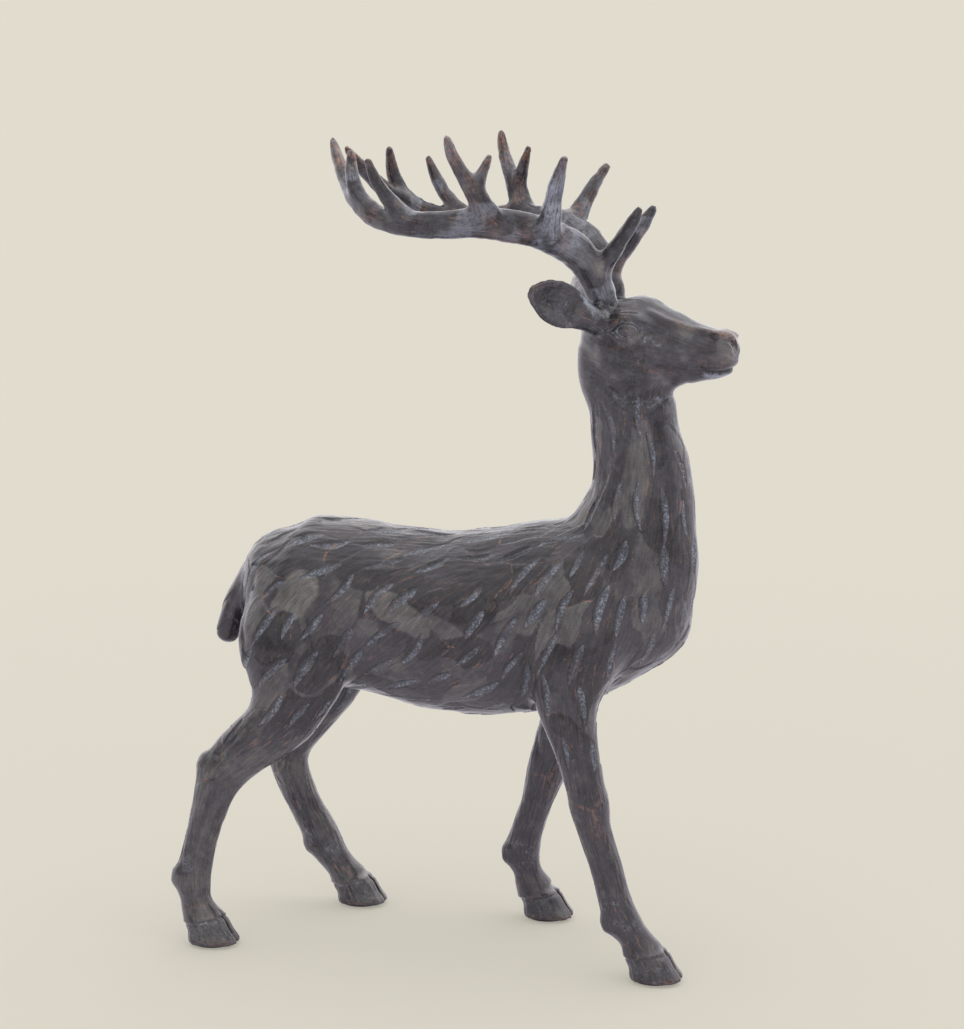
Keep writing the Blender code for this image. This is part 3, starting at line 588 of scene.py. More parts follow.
def carve_muzzle(points, normals, marks):
    """Lips, nostrils and nose."""
    x, y, z = points.T
    out = np.zeros(len(points))
    cheeks = step(np.abs(y), 5, 9)
    mouth = step(x, 134, 139)
    line = z - mouth_height(x)
    out -= 1.5 * mouth * bump(line, 0.9)
    out += 0.7 * mouth * bump(line - 3.6, 2.4) + 0.5 * mouth * bump(line + 3.4, 1.8)
    # Painted shade in the line between the lips.
    lay(marks, "dark", mouth * bump(line, 1.1))
    lay(marks, "wax", 0.95 * mouth * bump(line + 2.5, 1.8))
    corner = bump(np.hypot(x - 135.5, z - 361.5), 3.0) * cheeks
    out -= 0.8 * corner
    lay(marks, "worn", 0.7 * bump(np.hypot(x - 137.5, z - 365), 3.2) * step(np.abs(y), 6, 9))
    lip = along_line(points, [(155.0, 373.5), (151, 370), (146, 366.5), (141, 364.2)])[0]
    lip = bump(lip, 0.55) * step(np.abs(y), 3, 6)
    out -= 0.3 * lip
    lay(marks, "worn", 0.8 * lip)
    slope = step(x, 147, 156) * step(z, 359, 363) * (1 - step(z, 363, 377))
    out -= 1.8 * slope
    for side in (-1, 1):
        a, b = x - 154.2, z - 377.8
        mine = step(y * side, 3.0, 5.0)
        slant = math.radians(-48)
        p = a * math.cos(slant) + b * math.sin(slant)
        q = -a * math.sin(slant) + b * math.cos(slant) + 0.12 * p ** 2
        hole = np.sqrt((p / 3.8) ** 2 + (q / 1.6) ** 2)
        out += mine * (-2.2 * bump(hole, 0.85) + 0.3 * bump(hole - 1.6, 0.4))
        below = spot(x - 154.5, z - 373.0, 2.6, 3.2)
        lay(marks, "wax", mine * np.maximum(0.14 * bump(hole - 1.2, 0.4), 0.40 * below))
        # Painted shade in the nostrils.
        lay(marks, "dark", mine * 1.3 * bump(hole, 0.9))
    out += 2.3 * spot(x - 158.0, z - 383.0, 6.0, 5.0)
    split = bump(y, 0.8) * step(x, 153, 156) * step(z, 362, 365) * (1 - step(z, 372, 376))
    out -= 0.8 * split
    nose = step(x, 138, 150) * step(normals[:, 2] + 0.4 * normals[:, 0], 0.2, 0.6) * step(z, 376, 380)
    lay(marks, "worn", 2.2 * nose)
    chin = step(x, 128, 150) * bump(z - 366, 7.0) * cheeks
    lay(marks, "worn", 0.35 * chin)
    jaw = stroke(points, [(104, 362), (117, 359.5)], 2.4) * cheeks
    lay(marks, "worn", 0.45 * jaw)
    return out


def carve_head(points, marks):
    """Cheek, jaw, brow, the edge along the muzzle's top and the crease under the jaw."""
    x, y, z = points.T
    head = step(z, 336, 346)
    face = step(np.abs(y), 5, 10)
    out = head * face * (
        1.6 * spot(x - 93, z - 362, 16, 12)
        - 0.9 * spot(x - 112, z - 360, 7, 9)
        + 0.9 * stroke(points, [(103, 377), (118, 372), (130, 369)], 3.2)
        - 0.9 * spot(x - 80, z - 385, 6, 7)
        - 0.7 * spot(x - 112, z - 383, 8, 5)
    )
    ridge, where = along_line(points, [(101, 398), (114, 391), (130, 385.5), (147, 382.5)])
    ridge = bump(ridge, 1.9) * step(np.abs(y), 4, 7) * step(where, 0, 0.15)
    out += 1.3 * head * ridge
    lay(marks, "worn", 0.6 * head * bump(ridge - 1.0, 0.5) * step(where, 0.3, 0.5))
    jaw_line = [(72, 358), (80, 350), (92, 342.5), (106, 341.5), (118, 346), (126, 351)]
    under, where = along_line(points, jaw_line)
    crease = bump(under, 2.6) * step(where, 0.1, 0.3)
    out -= 1.0 * crease
    drawn = points * np.array([1, 1, 0.35])
    brushed = 0.42 + 0.3 * ripple(drawn, 1.8, 24) + 0.2 * ripple(points, 7.0, 25)
    below = bump(np.where(z < 352, under, 9.0), 3.4)
    lay(marks, "wax", 0.7 * brushed * below * step(where, 0.15, 0.35))
    marks["tone"] += head * (1.3 * ripple(points, 13.0, 28) + 0.5 * ripple(points, 5.0, 29) - 0.1)
    throat = step(x, 66, 76) * bump(z - 340.0, 8.0)
    lay(marks, "haze", head * (0.60 - 0.30 * step(x, 118, 140)))
    lay(marks, "haze", np.maximum(throat, 0.45 * step(z, 262, 300)))
    return out


# ---------------------------------------------------------------- legs

def leg_chart(points, line):
    """Distance from the leg's centre line, segment, share along it, and how far before and beside."""
    distance, segment, share = nearest_on(points, line)
    line = np.array(line, float)
    run = np.diff(line, axis=0)[segment]
    gap = points - line[segment] - share[:, None] * run
    forward = unit(run @ np.array([[0, 0, 1], [0, 0, 0], [-1, 0, 0]]))
    return distance, segment, share, (gap * forward).sum(1), gap[:, 1]


def carve_shank(leg, cut, own):
    """The groove and tendon of the shank, and the creases of the knee or hock."""
    segment, share, front, flank = leg.segment, leg.share, leg.front, leg.flank
    cannon = (segment == 1) * step(share, 0.1, 0.25) * (1 - step(share, 0.75, 0.92))
    cut -= 0.9 * cannon * flank * bump(front + 2.2, 1.6)
    cut += 0.35 * cannon * bump(front + 7.5, 3.0)
    # Painted shade in the groove of the cannon.
    lay(own, "dark", 0.5 * cannon * flank * bump(front + 2.2, 1.5))

    joint = np.where(segment == 0, 1 - share, share) * 50.0 * (segment <= 1)
    joint = np.where(segment <= 1, joint, 99.0)
    cut += 0.4 * bump(joint, 11.0) * step(front, -2, 6)
    if leg.fore:
        knee = leg.places - leg.middle
        crease = along_line(knee, [(-4, 1), (4, -1), (9, 5), (13, 13)])[0]
        crease = np.minimum(crease, along_line(knee, [(4, -1), (7, -7)])[0])
        crease = bump(crease, 1.1) * flank
        cut -= 0.5 * crease
        lay(own, "worn", 0.9 * crease)
        lay(own, "worn", 0.55 * bump(np.hypot(knee[:, 0] - 6, (knee[:, 2] + 12) / 2), 4.0))
        groove = stroke(knee, [(-8, 34), (-3, 18), (1, 4)], 3.0) * flank
        cut -= 0.9 * groove
        # Painted shade in the groove above the knee.
        lay(own, "dark", 0.6 * groove)
    else:
        tendon = (segment == 0) * step(share, 0.45, 0.65) * (1 - step(share, 0.93, 1.0))
        cut -= 1.3 * tendon * flank * bump(front + 8.0, 2.6)
        # Painted shade in the groove beside the tendon.
        lay(own, "dark", 0.4 * tendon * flank * bump(front + 8.0, 3.0))
        fold = (segment <= 1) * flank * bump(joint - 3.0 + 0.5 * front, 1.2) * step(-front, -2, 4)
        cut -= 0.5 * fold
        lay(own, "worn", 0.6 * fold)


def carve_fetlock(leg, cut, own):
    """The dew claws' knobs behind the fetlock, and the slim pastern under it."""
    segment, share, front, beside, z = leg.segment, leg.share, leg.front, leg.beside, leg.z
    fetlock = np.where(segment == 1, 1 - share, np.where(segment == 2, share * 0.5, 9.0)) * 60.0
    for lobe in (-4.4, 4.4):
        knob = np.sqrt((fetlock / 4.2) ** 2 + ((beside - lobe) / 3.2) ** 2)
        cut += 1.3 * bump(knob, 1.0) * (front < -4)
    cut += 1.2 * bump(np.hypot(fetlock / 4.5, (front + 9.0) / 4.0), 1.0)
    cut -= 0.9 * (segment == 2) * bump(share - 0.45, 0.2) * step(-front, 3, 8)
    pastern = (segment == 2) * bump(share - 0.5, 0.25)
    cut -= 0.8 * pastern * bump(front - 1.0, 4.0) * leg.flank
    speckle = 0.7 + 0.5 * ripple(leg.places, 6.0, 36)
    lay(own, "wax", 0.30 * bump(fetlock - 6.0, 9.0) * (segment >= 1) * speckle)
    lay(own, "worn", 0.6 * bump(z - 24.0, 3.5) * step(ripple(leg.places, 3.0, 32), 0.0, 0.6))


def carve_hoof(leg, cut, own):
    """The coronet's cuff, the cloven hoof and its rubbed rim."""
    front, beside, z = leg.front, leg.beside, leg.z
    above = z - 16.0 - 0.17 * front - 0.6 * ripple(leg.places, 6.0, 33)
    cuff = np.exp(-np.clip(above, 0, None) / 3.0) * step(above, -0.6, 0.7)
    cut += 0.8 * cuff - 0.3 * bump(above + 0.9, 0.9)
    lay(own, "wax", 0.55 * bump(above + 1.0, 1.0) * step(ripple(leg.places, 6.0, 34), -0.2, 0.5))
    lay(own, "worn", 0.7 * bump(above - 0.9, 0.9) * step(ripple(leg.places, 7.0, 37), -0.2, 0.4))
    hoof = step(-above, 0.0, 2.0)
    cut += 0.9 * hoof * bump(z - 3.5, 4.0)
    angle = np.arctan2(beside, front)
    cut += 0.12 * hoof * np.sin(angle * 17 + 2.0 * np.sin(angle * 5))
    lay(own, "dark", hoof * (0.30 + 0.15 * ripple(leg.places, 5.0, 38)))
    lay(own, "wax", 0.22 * hoof)
    cleft = hoof * step(front, 2.0, 7.0) * bump(beside, 0.9)
    cut -= 1.4 * cleft
    # Painted shade in the cleft of the hoof.
    lay(own, "dark", 0.9 * cleft)
    lips = hoof * step(front, 2.0, 7.0) * bump(np.abs(beside) - 1.8, 0.7)
    lay(own, "worn", 0.6 * lips)
    scuffed = step(ripple(leg.places, 5.0, 35), -0.5, 0.3)
    lay(own, "worn", 0.85 * hoof * bump(z - 3.8, 1.7) * scuffed)


def carve_legs(points, marks):
    out = np.zeros(len(points))
    for name in LEGS:
        line = LEG_LINES[name]
        side = -1 if "right" in name else 1
        near = np.flatnonzero((points[:, 2] < 160) & (points[:, 1] * side > 8))
        leg = SimpleNamespace(places=points[near], z=points[near, 2], middle=line[1])
        distance, leg.segment, leg.share, leg.front, leg.beside = leg_chart(leg.places, line)
        leg.fore = name.startswith("fore")
        leg.flank = step(np.abs(leg.beside), 3.5, 6.5)
        cut = np.zeros(len(near))
        own = {key: np.zeros(len(near)) for key in ("wax", "worn", "dark")}
        for carve in (carve_shank, carve_fetlock, carve_hoof):
            carve(leg, cut, own)
        mine = distance < 34
        out[near] += cut * mine
        for key, value in own.items():
            marks[key][near] = np.maximum(marks[key][near], value * mine)
    return out


# ---------------------------------------------------------------- grain

def tube_axis(mesh, reach):
    """The direction along a limb or branch: the one that normals round about keep square to."""
    small = remeshed(mesh, GRAIN_VOXEL)
    n = normals_of(small)
    pairs = [(0, 0), (1, 1), (2, 2), (0, 1), (0, 2), (1, 2)]
    tensor = relaxed(np.stack([n[:, a] * n[:, b] for a, b in pairs], 1), edges_of(small), reach)
    matrix = np.empty((len(n), 3, 3))
    for k, (a, b) in enumerate(pairs):
        matrix[:, a, b] = tensor[:, k]
        matrix[:, b, a] = tensor[:, k]
    axis = np.linalg.eigh(matrix)[1][:, :, 0]
    tree = kdtree.KDTree(len(n))
    for k, p in enumerate(points_of(small)):
        tree.insert(p, k)
    tree.balance()
    nearest = [tree.find(p)[1] for p in points_of(mesh)]
    bpy.data.meshes.remove(small)
    return axis[nearest]


def new_marks(count):
    # The dark mark holds painted shade in creases, grooves, holes, the ear's hollow and on
    # upward-facing surfaces, and the darker tone of hooves and antler patches. The side mark tells
    # which side of a cut gets painted shade.
    names = ("side", "tone", "wax", "worn", "dark", "streak", "pale", "haze")
    marks = {name: np.zeros(count) for name in names}
    marks["gouge"] = np.full(count, NO_CUT)
    marks["border"] = np.full(count, NO_BORDER)
    return marks


# ---------------------------------------------------------------- skins

def refine(mesh, wanted):
    """Cuts the quads whose corners are all wanted into four."""
    bm = bmesh.new()
    bm.from_mesh(mesh)
    bm.verts.ensure_lookup_table()
    edges = [e for e in bm.edges if wanted[e.verts[0].index] and wanted[e.verts[1].index]]
    bmesh.ops.subdivide_edges(bm, edges=edges, cuts=1, use_grid_fill=True, smooth=0.0)
    bm.to_mesh(mesh)
    bm.free()
    mesh.update()


def gaps_to(name, points):
    """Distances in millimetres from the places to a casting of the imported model."""
    mesh = NODES[name].data
    tree = BVHTree.FromPolygons([v.co for v in mesh.vertices], [p.vertices for p in mesh.polygons])
    return np.array([tree.find_nearest(Vector(p))[3] for p in (points + ORIGIN) * MM]) / MM


def owners(points, edges):
    """Which casting each vertex belongs to, and how near the root of an antler, ear or tail it is."""
    owner = np.full(len(points), "torso_shell", dtype="<U16")
    owner[points[:, 2] > NECK_JOINT_Z] = "head_shell"
    for name in LEGS:
        fore = points[:, 0] > -25
        left = points[:, 1] > 0
        mine = (fore == name.startswith("fore")) & (left == name.endswith("left"))
        owner[mine & (points[:, 2] < LEG_JOINT_Z)] = name
    root = np.full(len(points), 99.0)
    crown = np.flatnonzero(points[:, 2] > HORN_LOW)
    rump = np.flatnonzero((points[:, 0] < -118) & (points[:, 2] > 165) & (points[:, 2] < 265))
    for near, names in ((crown, ("head_shell", *HORNS)), (rump, ("torso_shell", "tail"))):
        gaps = np.array([gaps_to(name, points[near]) for name in names])
        if len(names) > 2:
            # Above the ears only the antlers are left: rows 0, 3 and 4 are the head and the ears.
            gaps[np.ix_([0, 3, 4], points[near, 2] > HORN_HIGH)] = 99.0
        for k, name in enumerate(names[1:], 1):
            margin = np.full(len(points), -20.0)
            margin[near] = np.clip(np.delete(gaps, k, 0).min(0) - gaps[k], -20, 20)
            margin = relaxed(margin[:, None], edges, 12)[:, 0]
            owner[margin > 0] = name
            root = np.minimum(root, np.abs(margin))
    return owner, root


def carve_horn(points, normals, comb, owner, root, filled, marks):
    """Antlers: combed furrows, pale wash in the crotches, copper tips. Ears: washed inside."""
    z = points[:, 2]
    root = np.where(z > 350, root, 99.0)
    antler = np.isin(owner, HORNS[:2])
    ear = np.isin(owner, HORNS[2:])
    out = antler * (0.04 * comb + 0.5 * ripple(points, 11.0, 4) * (1 - step(z, 460, 480)))
    out += antler * 0.22 * ripple(points, 4.5, 5)
    wash = step(filled, 0.5, 2.2) * step(ripple(points, 8.0, 41), -0.6, 0.2)
    second_tine = spot(points[:, 0] - 58.0, z - 455.0, 12, 28)
    second_tine = second_tine * (points[:, 1] < -20)
    patches = step(ripple(points, 10.0, 42), 0.25, 0.6)
    marks["pale"] = antler * np.clip(0.8 * wash + 1.1 * second_tine + 0.5 * patches, 0, 1)
    tips = 1.4 * step(z, 472, 490) + 0.6 * step(ripple(points, 10.0, 47), 0.15, 0.6)
    marks["tone"] += antler * (1.1 * ripple(points, 9.0, 48) - 0.25)
    lay(marks, "dark", antler * 0.6 * step(ripple(points, 8.0, 49), 0.25, 0.7))
    lay(marks, "worn", antler * tips)
    for side in (-1, 1):
        base, tip = np.array([74.0, side * 21.0, 390.0]), np.array([42.6, side * 60.0, 410.0])
        run = (points - base) @ (tip - base) / ((tip - base) @ (tip - base))
        mine = ear & (points[:, 1] * side > 0)
        inner = mine * step(normals[:, 0] - 0.3 * normals[:, 1] * side, 0.1, 0.5)
        lay(marks, "wax", inner * (0.8 * bump(run - 0.22, 0.13) + 0.15))
        # Painted shade in the hollow of the ear.
        lay(marks, "dark", inner * 0.40 * bump(run - 0.62, 0.30))
        lay(marks, "dark", 0.10 * mine * (1 - inner) * step(run, 0.2, 0.5))
        lay(marks, "worn", 0.75 * mine * step(run, 0.8, 1.0))
    out += ear * (0.03 * comb + 0.15 * ripple(points, 6.0, 9))
    speckle = 0.5 + 0.4 * ripple(points, 4.0, 43)
    lay(marks, "wax", 0.7 * bump(root, 2.2) * speckle)
    lay(marks, "haze", np.maximum(0.6 * bump(root, 4.0), 0.4 * ear + 0.4 * antler))
    return out - 0.35 * bump(root, 1.2)


def smooth_skin():
    """The melted castings, smoothed, with filled crotches and finer quads on the head and hooves."""
    pins = [n for n in NODES if "_pin_" in n or "core_plug" in n]
    mesh = melted([*CASTINGS, "belly_plug", *pins])
    points = points_of(mesh)
    z = points[:, 2]
    weight = 0.15 + 0.35 * step(z, 22, 40) + 0.5 * step(z, 120, 160) * (1 - step(z, 335, 350))
    weight = np.where(z > 400, 0.18, weight)
    for level in (LEG_JOINT_Z, NECK_JOINT_Z):
        weight = np.maximum(weight, bump(z - level, 4.0))
    edges = edges_of(mesh)
    owner, root = owners(points, edges)
    weight = np.maximum(weight, 0.8 * bump(root, 4.0))
    points = relaxed(points, edges, 60, weight)
    for level in (LEG_JOINT_Z, NECK_JOINT_Z):
        close = np.abs(points[:, 2] - level) < 0.45 * SKIN_VOXEL
        points[close, 2] = level
    set_points(mesh, points)
    horn = np.isin(owner, HORNS[:2])
    filled = webbed(mesh, horn, CROTCH_ROUNDS)
    points = points_of(mesh)
    add_layer(mesh, "filled", filled)
    fine = (points[:, 2] > NECK_JOINT_Z + 2) & ~horn | (points[:, 2] < 24)
    refine(mesh, fine)
    return mesh, take_layer(mesh, "filled")


def brush_grain(mesh, coat, horn):
    """Which way the patina is brushed: along limbs and antlers, with the coat, along the muzzle."""
    points, normals, edges = points_of(mesh), normals_of(mesh), edges_of(mesh)
    z = points[:, 2]
    limb = tube_axis(mesh, 24)
    share = np.where(horn, 0.0, step(z, 128, 150))[:, None]
    face = np.where(horn, 0.0, step(z, 345, 360))[:, None]
    ahead = np.array([0.95, 0.0, -0.3])
    muzzle = unit(ahead - (normals @ ahead)[:, None] * normals)
    limb *= np.where((limb * coat).sum(1, keepdims=True) < 0, -1, 1)
    grain = limb * (1 - share) + coat * share * (1 - face) + muzzle * face
    return unit(relaxed(grain, edges, 30)), face


def body_skin():
    """The whole stag, carved, and the casting that each vertex belongs to."""
    mesh, filled = smooth_skin()
    points, normals, edges = points_of(mesh), normals_of(mesh), edges_of(mesh)
    z = points[:, 2]
    owner, root = owners(points, edges)
    horn = np.isin(owner, HORNS)
    coat = coat_direction(points, normals)
    grain, face = brush_grain(mesh, coat, horn)
    marks = new_marks(len(points))
    comb = combed(ripple(points, 1.5, 50), points, edges, grain, 45)
    body = np.where(horn, 0.0, 1.0)
    offset = carve_facets(points, normals, coat, marks)
    offset += carve_broad_strokes(points, marks)
    offset += carve_gouges(points, normals, coat, marks)
    offset += carve_coat_ripples(points)
    offset += carve_swells(points)
    offset += carve_folds(points, normals, marks)
    offset += carve_legs(points, marks)
    offset += carve_head(points, marks)
    offset += carve_eyes(points, marks)
    offset += carve_muzzle(points, normals, marks)
    offset *= body
    ridge = step(normals[:, 2], 0.2, 0.7) * step(z, 220, 240)
    offset += comb * body * (1 - face[:, 0]) * (0.02 + 0.06 * ridge) * step(z, 24, 40)
    offset += 0.25 * ridge * body * ripple(points * np.array([0.35, 1.0, 1.0]), 4.5, 51)
    strokes = ripple(points * np.array([0.3, 1.0, 1.0]), 6.0, 52)
    # Painted shade on the upward-facing back, neck and head, in long streaks, toning down the light
    # from above.
    lay(marks, "dark", body * ridge * (0.45 + 0.4 * strokes))
    offset += 0.08 * comb * (1 - step(z, 110, 150)) * step(z, 24, 40)
    offset += carve_horn(points, normals, comb, owner, root, filled, marks)
    offset *= z > SOLE_Z
    set_points(mesh, points + normals * offset[:, None])
    hind = points[:, 0] < -60
    neck = step(z, 255, 275) * (1 - step(z, 325, 340))
    marks["tone"] += np.where(horn, 0.0, (0.55 + 0.3 * hind) * (1 - step(z, 110, 165)) + 0.3 * neck)
    throat = step(z, 255, 275) * (1 - step(z, 330, 345))
    marks["streak"] = 0.45 + 0.5 * (1 - step(z, 120, 165)) + 0.2 * throat
    marks["streak"] = np.where(horn, 0.8, marks["streak"] * (1 - 0.65 * face[:, 0]))
    for name, values in (*marks.items(), ("grain", grain)):
        add_layer(mesh, name, values)
    return mesh, owner


def split_body(mesh, owner):
    """Parts the skin where the castings part, keeping its shading across the joints."""
    add_layer(mesh, "shade", normals_of(mesh))
    points = points_of(mesh)
    layers = {}
    for layer in mesh.attributes:
        if layer.name == "position" or layer.domain != "POINT" or layer.name.startswith("."):
            continue
        vector = layer.data_type == "FLOAT_VECTOR"
        field, width = ("vector", 3) if vector else ("value", 1)
        layers[layer.name] = read(layer.data, field, np.float32, width)
    totals = read(mesh.polygons, "loop_total")
    corners = read(mesh.loops, "vertex_index")
    face_owner = owner[corners[read(mesh.polygons, "loop_start")]]
    pieces = {}
    for name in CASTINGS:
        mine = face_owner == name
        kept = np.repeat(mine, totals)
        used, index = np.unique(corners[kept], return_inverse=True)
        piece = bpy.data.meshes.new(name + "_skin")
        piece.vertices.add(len(used))
        piece.loops.add(len(index))
        piece.polygons.add(int(mine.sum()))
        starts = (np.cumsum(totals[mine]) - totals[mine]).astype(np.int32)
        piece.loops.foreach_set("vertex_index", index.astype(np.int32))
        piece.polygons.foreach_set("loop_start", starts)
        piece.polygons.foreach_set("loop_total", totals[mine])
        set_points(piece, points[used])
        piece.update(calc_edges=True)
        for layer, values in layers.items():
            add_layer(piece, layer, values[used])
        bm = bmesh.new()
        bm.from_mesh(piece)
        bmesh.ops.holes_fill(bm, edges=[e for e in bm.edges if e.is_boundary], sides=0)
        bm.to_mesh(piece)
        bm.free()
        shade = read(piece.attributes["shade"].data, "vector", np.float32, 3)
        piece.shade_smooth()
        piece.normals_split_custom_set_from_vertices(shade.tolist())
        piece.attributes.remove(piece.attributes["shade"])
        pieces[name] = piece
    return pieces


# ---------------------------------------------------------------- materials

class Nodes:
    """Short names for building the node tree of a material or world."""

    def __init__(self, holder):
        holder.use_nodes = True
        self.tree = holder.node_tree

    def new(self, kind, **settings):
        node = self.tree.nodes.new(kind)
        for key, value in settings.items():
            setattr(node, key, value)
        return node

    def feed(self, socket, value):
        if hasattr(value, "is_output"):
            self.tree.links.new(value, socket)
        elif isinstance(value, tuple) and len(value) == 3 and socket.type == "RGBA":
            socket.default_value = (*value, 1.0)
        else:
            socket.default_value = value

    def math(self, operation, a, b=0.0, clamp=False):
        node = self.new("ShaderNodeMath", operation=operation, use_clamp=clamp)
        self.feed(node.inputs[0], a)
        self.feed(node.inputs[1], b)
        return node.outputs[0]

    def times(self, a, b):
        return self.math("MULTIPLY", a, b)

    def plus(self, a, b):
        return self.math("ADD", a, b)

    def minus(self, a, b):
        return self.math("SUBTRACT", a, b)

    def ramp(self, value, low, high):
        """0 below low, 1 above high."""
        node = self.new("ShaderNodeMapRange", interpolation_type="SMOOTHSTEP")
        self.feed(node.inputs["Value"], value)
        node.inputs["From Min"].default_value = low
        node.inputs["From Max"].default_value = high
        return node.outputs["Result"]

    def blend(self, share, a, b):
        node = self.new("ShaderNodeMix", data_type="FLOAT")
        self.feed(node.inputs["Factor"], share)
        self.feed(node.inputs["A"], a)
        self.feed(node.inputs["B"], b)
        return node.outputs["Result"]


class Coating(Nodes):
    """A material's node tree, with the object's own places to draw on."""

    def __init__(self, name):
        self.material = bpy.data.materials.new(name)
        super().__init__(self.material)
        self.shader = self.tree.nodes["Principled BSDF"]
        self.place = self.new("ShaderNodeTexCoord").outputs["Object"]

    def mark(self, name, vector=False):
        """A value stored on the skin."""
        node = self.new("ShaderNodeAttribute", attribute_name=name)
        return node.outputs["Vector" if vector else "Fac"]

    def noise(self, size, detail=3.0, rough=0.6, place=None):
        """Noise with features of this size in millimetres, about 0 to 1."""
        node = self.new("ShaderNodeTexNoise")
        self.feed(node.inputs["Vector"], place or self.place)
        node.inputs["Scale"].default_value = 1.0 / (size * MM)
        node.inputs["Detail"].default_value = detail
        node.inputs["Roughness"].default_value = rough
        return node.outputs["Fac"]

    def mix(self, share, a, b):
        node = self.new("ShaderNodeMix", data_type="RGBA")
        self.feed(node.inputs["Factor"], share)
        self.feed(node.inputs["A"], a)
        self.feed(node.inputs["B"], b)
        return node.outputs["Result"]

    def moved(self, direction, distance):
        """The place, shifted along a direction by so many millimetres."""
        scaled = self.new("ShaderNodeVectorMath", operation="SCALE")
        self.feed(scaled.inputs[0], direction)
        scaled.inputs["Scale"].default_value = distance * MM
        added = self.new("ShaderNodeVectorMath", operation="ADD")
        self.feed(added.inputs[0], self.place)
        self.feed(added.inputs[1], scaled.outputs[0])
        return added.outputs[0]

    def streaks(self, size, reach, taps=5):
        """Fine noise smeared along the grain, as a brush or file leaves it."""
        grain = self.mark("grain", vector=True)
        total = None
        for k in range(taps):
            shift = (k / (taps - 1) - 0.5) * 2 * reach
            tap = self.noise(size, 1.0, 0.5, self.moved(grain, shift))
            total = tap if total is None else self.math("ADD", total, tap)
        return self.math("DIVIDE", total, float(taps))

    def bump(self, height, distance, strength=1.0):
        node = self.new("ShaderNodeBump")
        node.inputs["Strength"].default_value = strength
        node.inputs["Distance"].default_value = distance * MM
        self.feed(node.inputs["Height"], height)
        return node.outputs["Normal"]


# The patina's colours, from the blackest to the rubbed edges. The two darkest are also laid on as
# painted shade in the cuts, creases, grooves and holes.
DEEP_TONE_AND_SHADE = (0.012, 0.011, 0.014)
DARK = (0.017, 0.016, 0.020)
BROWN = (0.090, 0.073, 0.074)
VIOLET = (0.062, 0.058, 0.071)
OLIVE = (0.190, 0.185, 0.172)
SHEEN = (0.330, 0.318, 0.285)
BLUE_GREY = (0.070, 0.080, 0.102)
PALE_BLUE = (0.37, 0.395, 0.455)
WAX = (0.35, 0.38, 0.44)
HAZE = (0.130, 0.138, 0.162)
COPPER = (0.33, 0.165, 0.105)
ROD = ((0.32, 0.17, 0.09), (0.45, 0.27, 0.15))
FELT = ((0.012, 0.012, 0.013), (0.05, 0.05, 0.052))


def base_patina(n, brushed, fine):
    """The dark ground, lighter and darker stroke by stroke, with brushed streaks."""
    cloud = n.noise(24, 4, 0.6)
    drawn = n.ramp(n.streaks(2.0, 7.0, 8), 0.41, 0.59)
    mottle = n.noise(9, 3, 0.6)
    light = n.plus(n.times(n.mark("tone"), 0.74), n.times(n.minus(cloud, 0.5), 1.5))
    light = n.plus(light, n.times(n.minus(mottle, 0.5), 1.2))
    colour = n.mix(n.ramp(light, -0.55, 0.25), DARK, VIOLET)
    colour = n.mix(n.times(n.ramp(light, 0.30, 0.80), 0.8), colour, OLIVE)
    colour = n.mix(n.times(n.ramp(light, 0.80, 1.50), 0.6), colour, SHEEN)
    colour = n.mix(n.times(drawn, 0.55), colour, BROWN)
    scored = n.plus(n.times(n.mark("streak"), 0.22), 0.28)
    colour = n.mix(n.times(n.minus(1.0, brushed), scored), colour, DARK)
    colour = n.mix(n.times(n.ramp(fine, 0.5, 0.8), 0.2), colour, OLIVE)
    chalky = n.plus(n.times(brushed, 0.45), n.times(fine, 1.3))
    pale = n.times(n.mark("pale"), n.ramp(chalky, 0.35, 1.15))
    return n.mix(pale, colour, PALE_BLUE)


def coloured_cuts(n, colour, in_cut, outside, grit):
    """Speckled blue-grey in the gouge cuts, with painted shade along their upper side and a painted
    shadow just outside their upper edge.
    """
    side = n.mark("side")
    cut = n.mix(n.ramp(grit, 0.44, 0.66), BLUE_GREY, PALE_BLUE)
    # Painted shade: the upper side of each cut darkened, as if lit from above.
    cut = n.mix(n.times(n.ramp(side, -0.1, 0.8), 0.85), cut, DARK)
    some = n.ramp(n.noise(13, 2), 0.36, 0.56)
    colour = n.mix(n.times(in_cut, n.blend(some, 0.35, 0.95)), colour, cut)
    # Painted shadow: a dark line just outside the upper edge of each cut.
    rim = n.times(n.times(n.ramp(n.mark("gouge"), -0.9, -0.3), outside), n.ramp(side, -0.2, 0.6))
    return n.mix(n.times(rim, 0.85), colour, DEEP_TONE_AND_SHADE)


def rubbed_share(n, hair, brushed, fine, speck, outside):
    """Where the bronze shows copper: borders of facets, rims of cuts, scratches and worn places."""
    patchy = n.ramp(n.plus(n.noise(9, 3, 0.7), n.times(speck, 0.22)), 0.60, 0.70)
    seam = n.times(n.minus(1.0, n.ramp(n.mark("border"), 0.12, 0.5)), patchy)
    low_rim = n.times(n.times(n.ramp(n.mark("gouge"), -0.6, -0.2), outside), patchy)
    low_rim = n.times(low_rim, 0.35)
    scratch = n.times(n.ramp(hair, 0.545, 0.575), n.ramp(n.noise(15, 2), 0.40, 0.54))
    scratch = n.times(scratch, n.math("MINIMUM", n.times(n.mark("streak"), 1.7), 1.0))
    worn = n.times(n.mark("worn"), n.ramp(n.plus(fine, n.times(brushed, 0.22)), 0.50, 0.80))
    edges, rubbed = n.math("MAXIMUM", seam, low_rim), n.math("MAXIMUM", scratch, worn)
    return n.math("MAXIMUM", edges, rubbed, clamp=True)


